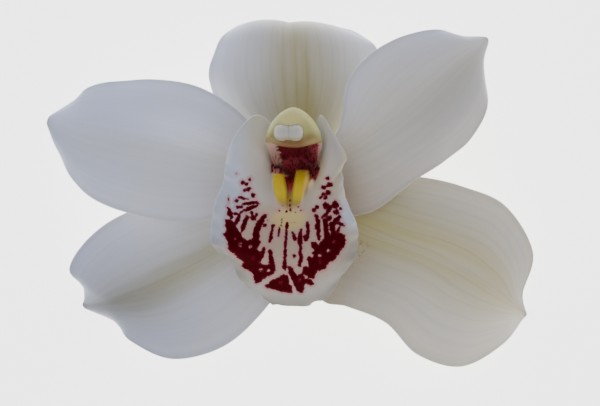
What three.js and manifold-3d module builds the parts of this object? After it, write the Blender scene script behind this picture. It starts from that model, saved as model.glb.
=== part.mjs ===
// A single cut cymbidium orchid bloom, lying on its back with its face up.
// Millimetres. +X is the bloom's right, +Y its top (the dorsal sepal's side), +Z is up,
// the way the open bloom faces. The origin is the middle of the outline, on the table.
import * as THREE from 'three';
import { mergeVertices } from 'three/addons/utils/BufferGeometryUtils.js';
import Module from 'manifold-3d';

const wasm = await Module();
wasm.setup();

// Driving dimensions. Every point below is measured from the bloom's centre, where its
// parts grow together, and z is height above that centre.
const centreAboveTable = 15;
const runningGap = 0.3; // left between pieces that touch

// Petals and sepals are waxy blades, thickest along the midrib, which runs in a channel.
// The channel's width is a share of the half blade. Columns crowd towards the midrib.
const blade = {
  midribThickness: 1.15,
  edgeThickness: 0.75,
  channelWidth: 0.13,
  rows: 22,
  columns: 12,
  crowding: 1.25,
};

// A blade is given by its midrib and its two edges, from its base out to its tip.
// Left and right are as seen from the base, looking to the tip with the face up.
// In relief, the channel's depth, the swell of each half and the height of the edge's
// waves are in millimetres, and waves counts them.
const dorsalSepal = {
  name: 'dorsal_sepal',
  colour: '#d9d6bd',
  relief: { channel: 0.4, swell: 0.6, wave: 0.35, waves: 2 },
  midrib: [
    [1, 5.4, -1.6], [0.8, 12, 0.4], [0.4, 19.4, 2], [0.1, 26.8, 2.6], [-0.2, 33.7, 1.4],
    [-0.5, 38.5, -1.6], [-0.7, 40.7, -6], [-0.9, 40.6, -10.8], [-0.9, 39.5, -14.85],
  ],
  left: [
    [-1.8, 5, -1.6], [-10, 10, -1.2], [-17, 17.5, -0.6], [-20.5, 25.4, -0.4], [-19.5, 31.9, -1.2],
    [-16.6, 37, -3.8], [-11.6, 40, -7.6], [-6.4, 40.6, -11.6], [-2, 39.8, -14.7],
  ],
  right: [
    [3.8, 5, -1.6], [10.8, 9.1, -1.6], [17.3, 16.1, -1.6], [21.1, 23.6, -1.6], [21.9, 30, -2.2],
    [19.6, 34.9, -4.4], [14.6, 38, -7.8], [7.3, 40, -11.8], [0.3, 39.8, -14.7],
  ],
};

const leftPetal = {
  name: 'left_petal',
  colour: '#d8dadf',
  relief: { channel: 0.35, swell: 0.7, wave: 0.5, waves: 2.5 },
  midrib: [
    [-1.9, 2.6, -0.2], [-11, 4.2, 1.6], [-19.9, 5.9, 2.8], [-28.8, 7.9, 3], [-37.8, 9.9, 2.4],
    [-46.4, 11.9, 1], [-53.4, 13.4, -0.8], [-58.3, 14.6, -2.6], [-61, 15.2, -4],
  ],
  left: [
    [-2.4, -0.2, -0.2], [-11, -5.5, 1.4], [-19.9, -9, 2.4], [-29.8, -9.9, 2.4], [-39.9, -8.3, 1.4],
    [-48.5, -5.2, -0.4], [-54.8, 0.7, -2], [-58.6, 7.7, -3.4], [-60.7, 13.8, -4.2],
  ],
  right: [
    [-1.2, 5.2, -0.2], [-8.4, 12.1, 2.4], [-15, 18.6, 3.8], [-23.3, 23.4, 3.6], [-33.3, 25.1, 2.4],
    [-42.9, 24.9, 0.8], [-50.3, 24.1, -1], [-54.6, 20.6, -2.6], [-60.3, 16.5, -4],
  ],
};

const rightPetal = {
  name: 'right_petal',
  colour: '#dcdbd2',
  relief: { channel: 0.35, swell: 0.7, wave: 0.55, waves: 2.5 },
  midrib: [
    [3.9, 2.6, -0.2], [11, 5.7, 2], [18.4, 9.7, 3.4], [25.3, 14.4, 3.8], [31.8, 19.8, 3.2],
    [37.8, 25.4, 1.8], [43, 30.2, 0.2], [46.7, 33.6, -1.6], [49.2, 36, -3],
  ],
  left: [
    [3.4, 5.2, -0.2], [9.5, 9.1, 2.8], [12.5, 15.8, 4.8], [13.7, 24.1, 5], [19, 31.6, 3.8],
    [27.9, 35.9, 1.8], [36.8, 37.8, 0], [42.7, 36.4, -1.6], [48.5, 36.4, -3],
  ],
  right: [
    [4.4, -0.2, -0.2], [11, -7.6, 1], [19.9, -7.2, 2.4], [29.8, -0.8, 2.8], [38.7, 4.3, 2.2],
    [44.9, 10.6, 1], [48.5, 19, -0.4], [48.3, 28.7, -2], [49.2, 34.9, -3.2],
  ],
};

const leftSepal = {
  name: 'left_lateral_sepal',
  colour: '#d4d6d6',
  relief: { channel: 0.7, swell: 1.1, wave: 0.4, waves: 2 },
  midrib: [
    [-1.4, 0, -1.7], [-8, -9.5, -2], [-14.6, -15.6, -2.8], [-22.2, -20.1, -4], [-30.4, -24.3, -5.6],
    [-38.7, -28, -7.6], [-45.6, -30.2, -9.8], [-50, -31.1, -12.2], [-54.1, -31.6, -14.85],
  ],
  left: [
    [0.5, -2.2, -1.7], [-2.5, -14, -1.4], [-4, -24.6, -1.2], [-9.8, -35.1, -1.4], [-18.5, -41.5, -2.4],
    [-30.4, -44.5, -4.6], [-40.8, -40.4, -8], [-45, -35.8, -11.2], [-53.3, -32.5, -14.7],
  ],
  right: [
    [-2.3, 1.4, -1.7], [-12, -3.5, -1.4], [-22.1, -4, -1.8], [-33.2, -5, -2.8], [-44, -8.8, -4.6],
    [-52.3, -15, -7.2], [-57, -22.4, -10.4], [-54, -27, -12.4], [-53.5, -30.8, -14.7],
  ],
};

const rightSepal = {
  name: 'right_lateral_sepal',
  colour: '#dcdacb',
  relief: { channel: 0.45, swell: 0.8, wave: 0.55, waves: 2 },
  midrib: [
    [3.4, 0, -1.7], [10, -7.6, -1.8], [18.1, -12.2, -2], [26.6, -15.6, -2.4], [35.3, -18.7, -3.4],
    [43.5, -23, -5.4], [50.4, -27.4, -8.2], [56, -31.3, -11.6], [60.5, -34.2, -14.85],
  ],
  left: [
    [4.3, 1.4, -1.7], [12, -0.6, -1.6], [22.1, 1.4, -1.6], [32.6, 1.1, -1.8], [43.3, -1.5, -2.8],
    [53.8, -6.3, -5.2], [61, -17.7, -8.4], [59.2, -28.1, -12], [60.2, -33.4, -14.7],
  ],
  right: [
    [1.5, -2.2, -1.7], [4.2, -14, -1.6], [6.5, -25.1, -1.4], [14, -30.3, -1.2], [23.6, -34.4, -1.6],
    [31.7, -43.3, -3.4], [43.1, -46.6, -6.2], [54.5, -40.9, -10.4], [59.7, -34.9, -14.7],
  ],
};

// The lip is a trough under the column. Its two side lobes stand up beside the column and
// its front lobe turns down over the sepals. Each rib runs from the middle of the trough
// out to one edge: it leaves the middle level, for its floor's length, and arrives at
// the edge from the point edge + lean. Its edge is ruffled from the side lobes forward.
const lip = {
  name: 'lip',
  colour: '#e6e3dc',
  thickness: 0.95,
  edgeThickness: 0.75,
  rows: 38,
  columnsPerSide: 9,
  ruffle: 0.6,
  ruffles: 8,
  ruffledFrom: 0.42,
  fullyRuffledFrom: 0.52,
  ruffledWidth: 0.45,
  middle: [
    [1, 0.8, 1.2], [0.9, -0.3, 5.2], [0.7, -1.3, 9.6], [0.4, -2.6, 13.2], [0.1, -4.6, 16],
    [-0.1, -7, 17.4], [-0.2, -9.8, 18], [-0.3, -13.2, 17.6], [-0.4, -17.6, 16],
    [-0.5, -22.2, 13], [-0.6, -26.6, 9], [-0.7, -30.3, 5],
  ],
  floor: [2, 5, 5.8, 6.4, 6.8, 6.8, 6.8, 6.8, 6.6, 5.6, 4, 2],
  leftEdge: [
    [-2.8, 0.9, 1.2], [-3.4, 8.4, 6.4], [-4.2, 12.6, 13.4], [-8, 15.3, 19], [-13, 10.9, 21],
    [-15.6, 4.7, 20.5], [-15.9, 0.7, 19.5], [-18.1, -5.7, 18.5], [-19.3, -13.6, 15.8],
    [-15.4, -18.8, 12], [-10.6, -25.6, 8], [-4.7, -30, 5],
  ],
  leftLean: [
    [0.6, -0.6, 0], [-4.4, -4.4, -0.4], [-4.8, -5.6, -0.8], [-1.8, -6.6, -1.6], [1.8, -6.4, -0.8],
    [3.6, -4, 0.2], [4, -2.6, 0.6], [4.6, -1.6, 1], [4.8, -1.2, 1.4],
    [3.8, -0.4, 1.4], [2.6, 0, 1], [1.2, 0.2, 0.4],
  ],
  rightEdge: [
    [4.9, 0.9, 1.2], [5.4, 8.4, 6.4], [5.8, 12.6, 13.4], [6.4, 15, 20], [10.5, 10.6, 22],
    [13.4, 4.9, 21.4], [11.4, 1, 20], [13.4, -5.7, 19.5], [15.9, -13.2, 17],
    [14.2, -19.5, 13.5], [9.4, -25.9, 8.4], [4, -30.2, 5],
  ],
  rightLean: [
    [-0.6, -0.6, 0], [4.4, -4.4, -0.4], [5, -5.6, -0.8], [3.8, -6.6, 0], [-1.6, -4.8, 1.4],
    [-4.4, -2.6, 1.8], [-2.4, -2, 1], [-3.6, -1.8, 1], [-4.6, -1.2, 1.4],
    [-3.8, -0.4, 1.4], [-2.6, 0, 1], [-1.2, 0.2, 0.4],
  ],
};

// Two yellow keels run down the lip's floor and meet at its front end. A keel is a cord
// with a flattened back, half sunk in the floor; offset is its distance from the lip's
// middle line, and squareness is 2 for an oval section and more for a boxier one.
const keel = {
  middleX: -0.55,
  offset: [3.1, 3.15, 3, 2.65, 2.25, 1.95],
  y: [0.2, 0.4, 0.3, -1.2, -3.8, -7.8],
  z: [4, 8, 11, 14, 16.2, 17.4],
  halfWidth: [1.3, 1.75, 2, 2.15, 2.2, 1.8],
  halfHeight: [2, 2.4, 2.6, 2.1, 1.5, 0.7],
  squareness: 3.4,
  rows: 12,
  sides: 16,
};

// The column arches forward over the lip. Each section is level, with a pointed dome of
// a back, a thin wing at either side, and an underside that is hollow lower down and
// bulges under the anther cap.
const column = {
  name: 'column',
  colour: '#d8cf9a',
  sides: 20,
  rows: 18,
  domePower: 1.2,
  x: [1.1, 1.1, 1, 0.8, 0.6, 0.4, 0.1, -0.3],
  height: [0.95, 6, 12.5, 18.5, 23, 26, 28, 29.2],
  wingY: [1.6, 2.9, 4.5, 6.6, 8.6, 9.6, 10.2, 11],
  backY: [6.6, 8.4, 11.4, 14.6, 16.6, 17.2, 16.3, 14.2],
  halfWidth: [2.5, 4.35, 5.5, 6, 6.6, 6.5, 5.2, 2.8],
  hollow: [0, 0.7, 1.2, 1.3, 0.2, -1.9, -1.6, 0],
};

// The anther cap sits in the column's tip: two rounded, nearly square lobes side by side
// over the pollen, with a groove between them.
const antherCap = {
  name: 'anther_cap',
  colour: '#eceae4',
  squareness: 2.7,
  lobes: [
    { at: [-2.28, 11.1, 28.2], radii: [1.9, 2.1, 2.1] },
    { at: [0.98, 11.1, 28.2], radii: [1.9, 2.1, 2.1] },
    { at: [-0.65, 11.05, 27.8], radii: [1.5, 1.85, 1.9] },
  ],
};

// Two waxy pollen masses share one sticky pad under the cap's front.
const pollinarium = {
  name: 'pollinarium',
  colour: '#e3b93c',
  squareness: 2,
  lobes: [
    { at: [-1.75, 11.4, 26.6], radii: [0.85, 1.05, 0.75] },
    { at: [0.45, 11.4, 26.6], radii: [0.85, 1.05, 0.75] },
    { at: [-0.65, 10.5, 26.3], radii: [1.4, 0.6, 0.5] },
    { at: [-0.65, 10.1, 26.3], radii: [0.9, 0.7, 0.4] },
  ],
};

// The ovary and its stalk: up through the middle of the bloom, down behind it, then
// forward along the table to the cut end.
const stalk = {
  name: 'ovary_and_stalk',
  colour: '#9aab5c',
  path: [
    [1, 2.2, 0.35], [1, 2.2, -2.3], [1, 2.1, -3.2], [1.1, 1.5, -5.4], [1.6, -1.8, -8.6],
    [2.4, -7.6, -11.2], [3.6, -15, -12.4], [5, -24, -12.7],
  ],
  radius: [2.2, 2.2, 3.3, 3.2, 3.1, 2.9, 2.4, 2.15],
  rows: 22,
  sides: 12,
};

const point = ([x, y, z]) => new THREE.Vector3(x, y, z);

// The smooth curve through a list of points, and the same for plain numbers.
function curveThrough(points) {
  return new THREE.CatmullRomCurve3(points.map(point), false, 'catmullrom', 0.5);
}

function valueThrough(values) {
  const curve = curveThrough(values.map((value) => [value, 0, 0]));
  return (s) => curve.getPoint(s).x;
}

function toSolid(geometry) {
  const bare = new THREE.BufferGeometry();
  bare.setAttribute('position', geometry.getAttribute('position').clone());
  if (geometry.index) bare.setIndex(geometry.index.clone());
  const merged = mergeVertices(bare, 1e-4);
  return new wasm.Manifold(
    new wasm.Mesh({
      numProp: 3,
      vertProperties: merged.getAttribute('position').array,
      triVerts: new Uint32Array(merged.index.array),
    }),
  );
}

function toGeometry(solid) {
  const mesh = solid.getMesh();
  const geometry = new THREE.BufferGeometry();
  geometry.setAttribute('position', new THREE.BufferAttribute(mesh.vertProperties, 3));
  geometry.setIndex(new THREE.BufferAttribute(mesh.triVerts, 1));
  return geometry;
}

// A closed skin over rings of points that run along a body, closed at both ends.
function skinOver(rings) {
  const sides = rings[0].length;
  const positions = rings.flat().flatMap((p) => p.toArray());
  const index = [];
  for (let row = 0; row < rings.length - 1; row++)
    for (let side = 0; side < sides; side++) {
      const a = row * sides + side;
      const b = row * sides + ((side + 1) % sides);
      index.push(a, b, b + sides, a, b + sides, a + sides);
    }
  for (const [row, turn] of [[0, 1], [rings.length - 1, 0]]) {
    const middle = new THREE.Vector3();
    for (const p of rings[row]) middle.addScaledVector(p, 1 / sides);
    const hub = positions.length / 3;
    positions.push(...middle.toArray());
    for (let side = 0; side < sides; side++) {
      const a = row * sides + side;
      const b = row * sides + ((side + 1) % sides);
      index.push(hub, ...(turn ? [b, a] : [a, b]));
    }
  }
  const geometry = new THREE.BufferGeometry();
  geometry.setAttribute('position', new THREE.Float32BufferAttribute(positions, 3));
  geometry.setIndex(index);
  return geometry;
}

// The way a surface faces at one point. surface(s, t) has s from base to tip and t from
// -1 to 1 across, and (across) x (along) points to its face.
function facing(surface, s, t) {
  const step = 1e-3;
  const along = surface(Math.min(1, s + step), t).sub(surface(Math.max(0, s - step), t));
  const across = surface(s, Math.min(1, t + step)).sub(surface(s, Math.max(-1, t - step)));
  return across.cross(along).normalize();
}

// The same surface moved towards its face by offset(s, t).
function raised(surface, offset) {
  return (s, t) => surface(s, t).addScaledVector(facing(surface, s, t), offset(s, t));
}

// Waves along a blade's edges, with the two edges out of step.
function ripple(count, s, t) {
  const outOfStep = 2;
  return Math.sin(2 * Math.PI * count * s + outOfStep * t);
}

// A thin closed sheet: the middle surface moved half its thickness to either side.
function sheet(surface, thickness, rows, columns, crowding = 1) {
  const face = [];
  const back = [];
  for (let row = 0; row <= rows; row++)
    for (let column = 0; column <= columns; column++) {
      const s = row / rows;
      const u = (2 * column) / columns - 1;
      const t = Math.sign(u) * Math.abs(u) ** crowding;
      const out = facing(surface, s, t).multiplyScalar(thickness(s, t) / 2);
      face.push(surface(s, t).add(out));
      back.push(surface(s, t).sub(out));
    }
  const wide = columns + 1;
  const under = (rows + 1) * wide;
  const index = [];
  for (let row = 0; row < rows; row++)
    for (let column = 0; column < columns; column++) {
      const a = row * wide + column;
      index.push(a, a + 1, a + wide + 1, a, a + wide + 1, a + wide);
      index.push(under + a, under + a + wide + 1, under + a + 1);
      index.push(under + a, under + a + wide, under + a + wide + 1);
    }
  const rim = [];
  for (let column = 0; column < columns; column++) rim.push(column);
  for (let row = 0; row < rows; row++) rim.push(row * wide + columns);
  for (let column = columns; column > 0; column--) rim.push(rows * wide + column);
  for (let row = rows; row > 0; row--) rim.push(row * wide);
  rim.forEach((a, i) => {
    const b = rim[(i + 1) % rim.length];
    index.push(a, under + a, under + b, a, under + b, b);
  });
  const geometry = new THREE.BufferGeometry();
  const positions = [...face, ...back].flatMap((p) => p.toArray());
  geometry.setAttribute('position', new THREE.Float32BufferAttribute(positions, 3));
  geometry.setIndex(index);
  return geometry;
}

// Takes off what would lie under the table, which leaves the flat spot a sepal rests on.
function restOnTable(geometry) {
  const reach = 400;
  const slab = new THREE.BoxGeometry(reach, reach, reach);
  slab.translate(0, 0, -centreAboveTable - reach / 2);
  return toGeometry(toSolid(geometry).subtract(toSolid(slab)));
}

// A petal or sepal: a smooth cross-section through left edge, midrib and right edge,
// then its channel, the swell of its halves and the waves of its edges.
function bladeSolid({ midrib, left, right, relief }) {
  const [middle, low, high] = [midrib, left, right].map(curveThrough);
  const smooth = (s, t) =>
    new THREE.Vector3()
      .addScaledVector(low.getPoint(s), (t * t - t) / 2)
      .addScaledVector(middle.getPoint(s), 1 - t * t)
      .addScaledVector(high.getPoint(s), (t * t + t) / 2);
  const offset = (s, t) => {
    const channel = -relief.channel * Math.exp(-((t / blade.channelWidth) ** 2));
    const swell = relief.swell * Math.sin(Math.PI * Math.abs(t)) ** 2;
    const wave = relief.wave * Math.abs(t) ** 3 * ripple(relief.waves, s, t);
    return Math.sin(Math.PI * s) * (channel + swell + wave);
  };
  const thickness = (s, t) =>
    THREE.MathUtils.lerp(blade.midribThickness, blade.edgeThickness, Math.max(t * t, s * s));
  return sheet(raised(smooth, offset), thickness, blade.rows, blade.columns, blade.crowding);
}

// How far a boxy oval of half-size 1 reaches in a direction.
function boxyReach(squareness, ...direction) {
  const sum = direction.reduce((all, part) => all + Math.abs(part) ** squareness, 0);
  return sum ** (-1 / squareness);
}

// A cord along a path, with its second half-size square to the path and to x.
function cord(path, halfWidth, halfHeight, rows, sides, squareness = 2) {
  const rings = [];
  for (let row = 0; row <= rows; row++) {
    const s = row / rows;
    const along = path.getTangent(s);
    const sideways = new THREE.Vector3(1, 0, 0);
    sideways.addScaledVector(along, -sideways.dot(along)).normalize();
    const upward = new THREE.Vector3().crossVectors(along, sideways);
    const ring = [];
    for (let i = 0; i < sides; i++) {
      const angle = (2 * Math.PI * i) / sides;
      const reach = boxyReach(squareness, Math.cos(angle), Math.sin(angle));
      ring.push(
        path
          .getPoint(s)
          .addScaledVector(sideways, reach * halfWidth(s) * Math.cos(angle))
          .addScaledVector(upward, reach * halfHeight(s) * Math.sin(angle)),
      );
    }
    rings.push(ring);
  }
  return skinOver(rings);
}

function keelSolid(side) {
  const points = keel.offset.map((x, i) => [keel.middleX + side * x, keel.y[i], keel.z[i]]);
  const [halfWidth, halfHeight] = [keel.halfWidth, keel.halfHeight].map(valueThrough);
  const { rows, sides, squareness } = keel;
  return toSolid(cord(curveThrough(points), halfWidth, halfHeight, rows, sides, squareness));
}

function lipSolid() {
  const middle = curveThrough(lip.middle);
  const floor = valueThrough(lip.floor);
  const left = { edge: curveThrough(lip.leftEdge), lean: curveThrough(lip.leftLean), way: -1 };
  const right = { edge: curveThrough(lip.rightEdge), lean: curveThrough(lip.rightLean), way: 1 };
  const smooth = (s, t) => {
    const { edge, lean, way } = t < 0 ? left : right;
    const start = middle.getPoint(s);
    const end = edge.getPoint(s);
    const leaves = start.clone().add(new THREE.Vector3(way * floor(s), 0, 0));
    const arrives = end.clone().add(lean.getPoint(s));
    return new THREE.CubicBezierCurve3(start, leaves, arrives, end).getPoint(Math.abs(t));
  };
  const offset = (s, t) => {
    const nearEdge = Math.max(0, Math.abs(t) - 1 + lip.ruffledWidth) / lip.ruffledWidth;
    const forward = THREE.MathUtils.smoothstep(s, lip.ruffledFrom, lip.fullyRuffledFrom);
    return lip.ruffle * forward * nearEdge ** 2 * ripple(lip.ruffles, s, t);
  };
  const thickness = (s, t) => THREE.MathUtils.lerp(lip.thickness, lip.edgeThickness, t * t);
  const trough = sheet(raised(smooth, offset), thickness, lip.rows, 2 * lip.columnsPerSide);
  return toGeometry(toSolid(trough).add(keelSolid(-1)).add(keelSolid(1)));
}

function lobesSolid({ lobes, squareness }, grow = 0) {
  return lobes
    .map(({ at, radii }) => {
      const lobe = new THREE.SphereGeometry(1, 16, 10);
      const places = lobe.getAttribute('position');
      for (let i = 0; i < places.count; i++) {
        const place = new THREE.Vector3().fromBufferAttribute(places, i);
        place.multiplyScalar(boxyReach(squareness, ...place.toArray()));
        places.setXYZ(i, ...place.toArray());
      }
      lobe.scale(...radii.map((radius) => radius + grow));
      lobe.translate(...at);
      return toSolid(lobe);
    })
    .reduce((all, lobe) => all.add(lobe));
}

function columnSolid() {
  const [x, height, wingY, backY, halfWidth, hollow] = [
    column.x, column.height, column.wingY, column.backY, column.halfWidth, column.hollow,
  ].map(valueThrough);
  const rings = [];
  for (let row = 0; row <= column.rows; row++) {
    const s = row / column.rows;
    const ring = [];
    for (let i = 0; i < column.sides; i++) {
      const angle = (2 * Math.PI * i) / column.sides;
      const [cos, sin] = [Math.cos(angle), Math.sin(angle)];
      const onBack = sin >= 0;
      const sideways = onBack ? Math.sign(cos) * Math.abs(cos) ** column.domePower : cos;
      const y = onBack
        ? wingY(s) + (backY(s) - wingY(s)) * sin ** column.domePower
        : wingY(s) + hollow(s) * (1 - cos * cos);
      ring.push(new THREE.Vector3(x(s) + halfWidth(s) * sideways, y, height(s)));
    }
    rings.push(ring);
  }
  return toSolid(skinOver(rings));
}

function stalkSolid() {
  const radius = valueThrough(stalk.radius);
  return cord(curveThrough(stalk.path), radius, radius, stalk.rows, stalk.sides);
}

function addPiece(group, { name, colour }, geometry) {
  const flat = geometry.index ? geometry.toNonIndexed() : geometry;
  flat.computeVertexNormals();
  const material = new THREE.MeshStandardMaterial({ color: colour, roughness: 0.6, metalness: 0 });
  const mesh = new THREE.Mesh(flat, material);
  mesh.name = name;
  group.add(mesh);
}

const bloom = new THREE.Group();
for (const sepal of [dorsalSepal, leftSepal, rightSepal])
  addPiece(bloom, sepal, restOnTable(bladeSolid(sepal)));
for (const petal of [leftPetal, rightPetal]) addPiece(bloom, petal, bladeSolid(petal));
addPiece(bloom, lip, lipSolid());

const pollenSpace = lobesSolid(pollinarium, runningGap);
addPiece(
  bloom,
  column,
  toGeometry(columnSolid().subtract(lobesSolid(antherCap, runningGap)).subtract(pollenSpace)),
);
addPiece(bloom, antherCap, toGeometry(lobesSolid(antherCap).subtract(pollenSpace)));
addPiece(bloom, pollinarium, toGeometry(lobesSolid(pollinarium)));
addPiece(bloom, stalk, stalkSolid());

// The origin goes under the middle of the outline, at the height of the table.
const outline = new THREE.Box3().setFromObject(bloom).getCenter(new THREE.Vector3());
bloom.position.set(-outline.x, -outline.y, centreAboveTable);

export default bloom;
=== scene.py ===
# A single cut cymbidium bloom, white with a maroon-blotched lip, lying on its back.
# Lengths are millimetres until a mesh is made, and metres on the stage. Points are
# measured from the bloom's centre, where its parts grow together: x to its right, y to
# its top, z up. A pattern's scale is how many of its cells go in a millimetre, over mm.
import math

import bpy
import numpy as np
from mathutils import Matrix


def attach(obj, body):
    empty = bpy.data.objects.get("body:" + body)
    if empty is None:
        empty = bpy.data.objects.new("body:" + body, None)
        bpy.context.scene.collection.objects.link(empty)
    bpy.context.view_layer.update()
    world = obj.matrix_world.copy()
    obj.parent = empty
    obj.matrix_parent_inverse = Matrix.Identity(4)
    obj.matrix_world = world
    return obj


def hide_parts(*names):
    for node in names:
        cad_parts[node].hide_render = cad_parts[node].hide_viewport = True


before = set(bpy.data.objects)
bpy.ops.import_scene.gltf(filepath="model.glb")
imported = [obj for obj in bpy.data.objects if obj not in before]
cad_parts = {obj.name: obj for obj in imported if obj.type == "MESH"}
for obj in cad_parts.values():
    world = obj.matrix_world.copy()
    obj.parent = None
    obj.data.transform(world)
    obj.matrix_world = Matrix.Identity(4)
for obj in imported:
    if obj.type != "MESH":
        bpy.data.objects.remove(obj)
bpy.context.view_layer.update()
print("frame loaded")

mm = 0.001  # one millimetre in metres
bloomCentre = np.array([0.03, 2.43, 15.0])  # the centre's place in the row frame


# small tools

def toLinear(hexColour):
    parts = [int(hexColour[i:i + 2], 16) / 255 for i in (1, 3, 5)]
    return [p / 12.92 if p <= 0.04045 else ((p + 0.055) / 1.055) ** 2.4 for p in parts] + [1]


def setInputs(tree, node, inputs):
    # a node or a socket is linked, a hex colour is turned linear, other values are set
    for name, value in inputs.items():
        if isinstance(value, bpy.types.Node):
            value = next(socket for socket in value.outputs if socket.enabled)
        if isinstance(value, bpy.types.NodeSocket):
            tree.links.new(value, node.inputs[name])
            continue
        isHex = isinstance(value, str) and value.startswith("#")
        node.inputs[name].default_value = toLinear(value) if isHex else value


def addNode(tree, kind, inputs=None, **settings):
    made = tree.nodes.new(kind)
    row, place = divmod(len(tree.nodes), 9)  # nine nodes to a row
    made.location = (200 * place, -260 * row)
    for name, value in settings.items():
        setattr(made, name, value)
    setInputs(tree, made, inputs or {})
    return made


def newMaterial(name, *painted):
    # with its shader, its Object coordinates and the tints that are painted on the mesh
    material = bpy.data.materials.new(name)
    material.use_nodes = True
    tree = material.node_tree
    place = addNode(tree, "ShaderNodeTexCoord").outputs["Object"]
    read = {
        tint: addNode(tree, "ShaderNodeAttribute", attribute_name=tint).outputs["Fac"]
        for tint in painted
    }
    return material, tree, tree.nodes["Principled BSDF"], place, read


def through(points, s):
    # the smooth curve through a list of points or numbers, at s from 0 to 1
    p = np.asarray(points, float)
    p = p[:, None] if p.ndim == 1 else p
    p = np.vstack([2 * p[0] - p[1], p, 2 * p[-1] - p[-2]])
    place = np.clip(s, 0, 1) * (len(p) - 3)
    i = np.minimum(place.astype(int), len(p) - 4)
    w = (place - i)[..., None]
    before, a, b, after = p[i], p[i + 1], p[i + 2], p[i + 3]
    leave, arrive = (b - before) / 2, (after - a) / 2
    cubic = (2 * a - 2 * b + leave + arrive) * w ** 3
    found = cubic + (3 * b - 3 * a - 2 * leave - arrive) * w ** 2 + leave * w + a
    return found[..., 0] if found.shape[-1] == 1 else found


def smoothStep(low, high, value):
    u = np.clip((value - low) / (high - low), 0, 1)
    return u * u * (3 - 2 * u)


def unit(vectors):
    return vectors / np.maximum(np.linalg.norm(vectors, axis=-1, keepdims=True), 1e-12)


def facing(surface, s, t):
    # across x along points to the surface's face
    step = 1e-3
    along = surface(np.minimum(1, s + step), t) - surface(np.maximum(0, s - step), t)
    across = surface(s, np.minimum(1, t + step)) - surface(s, np.maximum(-1, t - step))
    return unit(np.cross(across, along))


def raised(surface, offset):
    return lambda s, t: surface(s, t) + facing(surface, s, t) * offset(s, t)[..., None]


def thinSheet(surface, halfThickness, s, t, rimSteps=5, rimBulge=0.8):
    # a closed sheet with a rounded rim; front is 1 on its face and 0 on its back
    gridS, gridT = np.meshgrid(s, t, indexing="ij")
    middle, out = surface(gridS, gridT), facing(surface, gridS, gridT)
    half = halfThickness(gridS, gridT)[..., None]
    count = gridS.size
    number = np.arange(count).reshape(gridS.shape)
    a, b, c, d = number[:-1, :-1], number[:-1, 1:], number[1:, 1:], number[1:, :-1]
    quads = np.stack([a, b, c, d], -1).reshape(-1, 4)
    rim = np.concatenate([number[0, :-1], number[:-1, -1], number[-1, :0:-1], number[:0:-1, 0]])
    flat = [x.reshape(-1, x.shape[-1]) for x in (middle, out, half)]
    edge, edgeOut, edgeHalf = (x[rim] for x in flat)
    outward = unit(np.cross(np.roll(edge, -1, 0) - np.roll(edge, 1, 0), edgeOut))
    vertices = [flat[0] + flat[1] * flat[2], flat[0] - flat[1] * flat[2]]
    frontness, ring = [np.ones(count), np.zeros(count)], [rim]
    for step in range(1, rimSteps):
        turn = math.pi * step / rimSteps
        bulge = outward * edgeHalf * rimBulge * math.sin(turn)
        vertices.append(edge + bulge + edgeOut * edgeHalf * math.cos(turn))
        frontness.append(np.full(len(rim), 1 - step / rimSteps))
        ring.append(2 * count + (step - 1) * len(rim) + np.arange(len(rim)))
    ring.append(rim + count)
    faces = [quads, quads[:, ::-1] + count]
    for upper, lower in zip(ring[:-1], ring[1:]):
        faces.append(np.stack([upper, lower, np.roll(lower, -1), np.roll(upper, -1)], -1))
    spread = lambda x: np.concatenate([x.ravel(), x.ravel()] + [x.ravel()[rim]] * (rimSteps - 1))
    frontness = np.concatenate(frontness)
    painted = {"along": spread(gridS), "across": spread(gridT), "front": frontness}
    return np.concatenate(vertices), np.concatenate(faces), painted


def ringSkin(rings):
    # a closed skin over rings of points, with a fan of triangles at either end
    rows, sides = rings.shape[:2]
    number = np.arange(rows * sides).reshape(rows, sides)
    a, b = number[:-1], np.roll(number[:-1], -1, 1)
    quads = np.stack([a, b, b + sides, a + sides], -1).reshape(-1, 4).tolist()
    hubs = [rings[0].mean(0), rings[-1].mean(0)]
    first, last = rows * sides, rows * sides + 1
    for i in range(sides):
        j = (i + 1) % sides
        quads.append([first, number[0, j], number[0, i]])
        quads.append([last, number[-1, i], number[-1, j]])
    return np.concatenate([rings.reshape(-1, 3), hubs]), quads


def newObject(name, data):
    made = bpy.data.objects.new(name, data)
    bpy.context.scene.collection.objects.link(made)
    return made


def paint(mesh, painted):
    for name, values in painted.items():
        layer = mesh.attributes.new(name, "FLOAT", "POINT")
        layer.data.foreach_set("value", np.asarray(values, np.float32))


def addPiece(name, vertices, faces, material, painted=None):
    mesh = bpy.data.meshes.new(name)
    placed = (np.asarray(vertices) + bloomCentre) * mm
    mesh.from_pydata(placed.tolist(), [], faces if isinstance(faces, list) else faces.tolist())
    mesh.polygons.foreach_set("use_smooth", [True] * len(mesh.polygons))
    mesh.materials.append(material)
    paint(mesh, painted or {})
    return newObject(name, mesh)


def standFor(piece, node):
    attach(piece, "root")
    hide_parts(node)


def bakedMesh(piece):
    # the result of a piece's modifiers as a plain mesh
    graph = bpy.context.evaluated_depsgraph_get()
    return bpy.data.meshes.new_from_object(piece.evaluated_get(graph))


def newTree(name, source, sizes, result):
    # a geometry tree with its source, its sizes by name and kind, and its result
    tree = bpy.data.node_groups.new(name, "GeometryNodeTree")
    for socket, kind in {source: "Geometry", **sizes}.items():
        tree.interface.new_socket(socket, in_out="INPUT", socket_type="NodeSocket" + kind)
    tree.interface.new_socket(result, in_out="OUTPUT", socket_type="NodeSocketGeometry")
    return tree, addNode(tree, "NodeGroupInput").outputs


def endTree(tree, grown, material, result):
    plain = addNode(tree, "GeometryNodeRealizeInstances", {"Geometry": grown})
    done = addNode(tree, "GeometryNodeSetMaterial", {"Geometry": plain, "Material": material})
    addNode(tree, "NodeGroupOutput", {result: done})
    return tree


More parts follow.
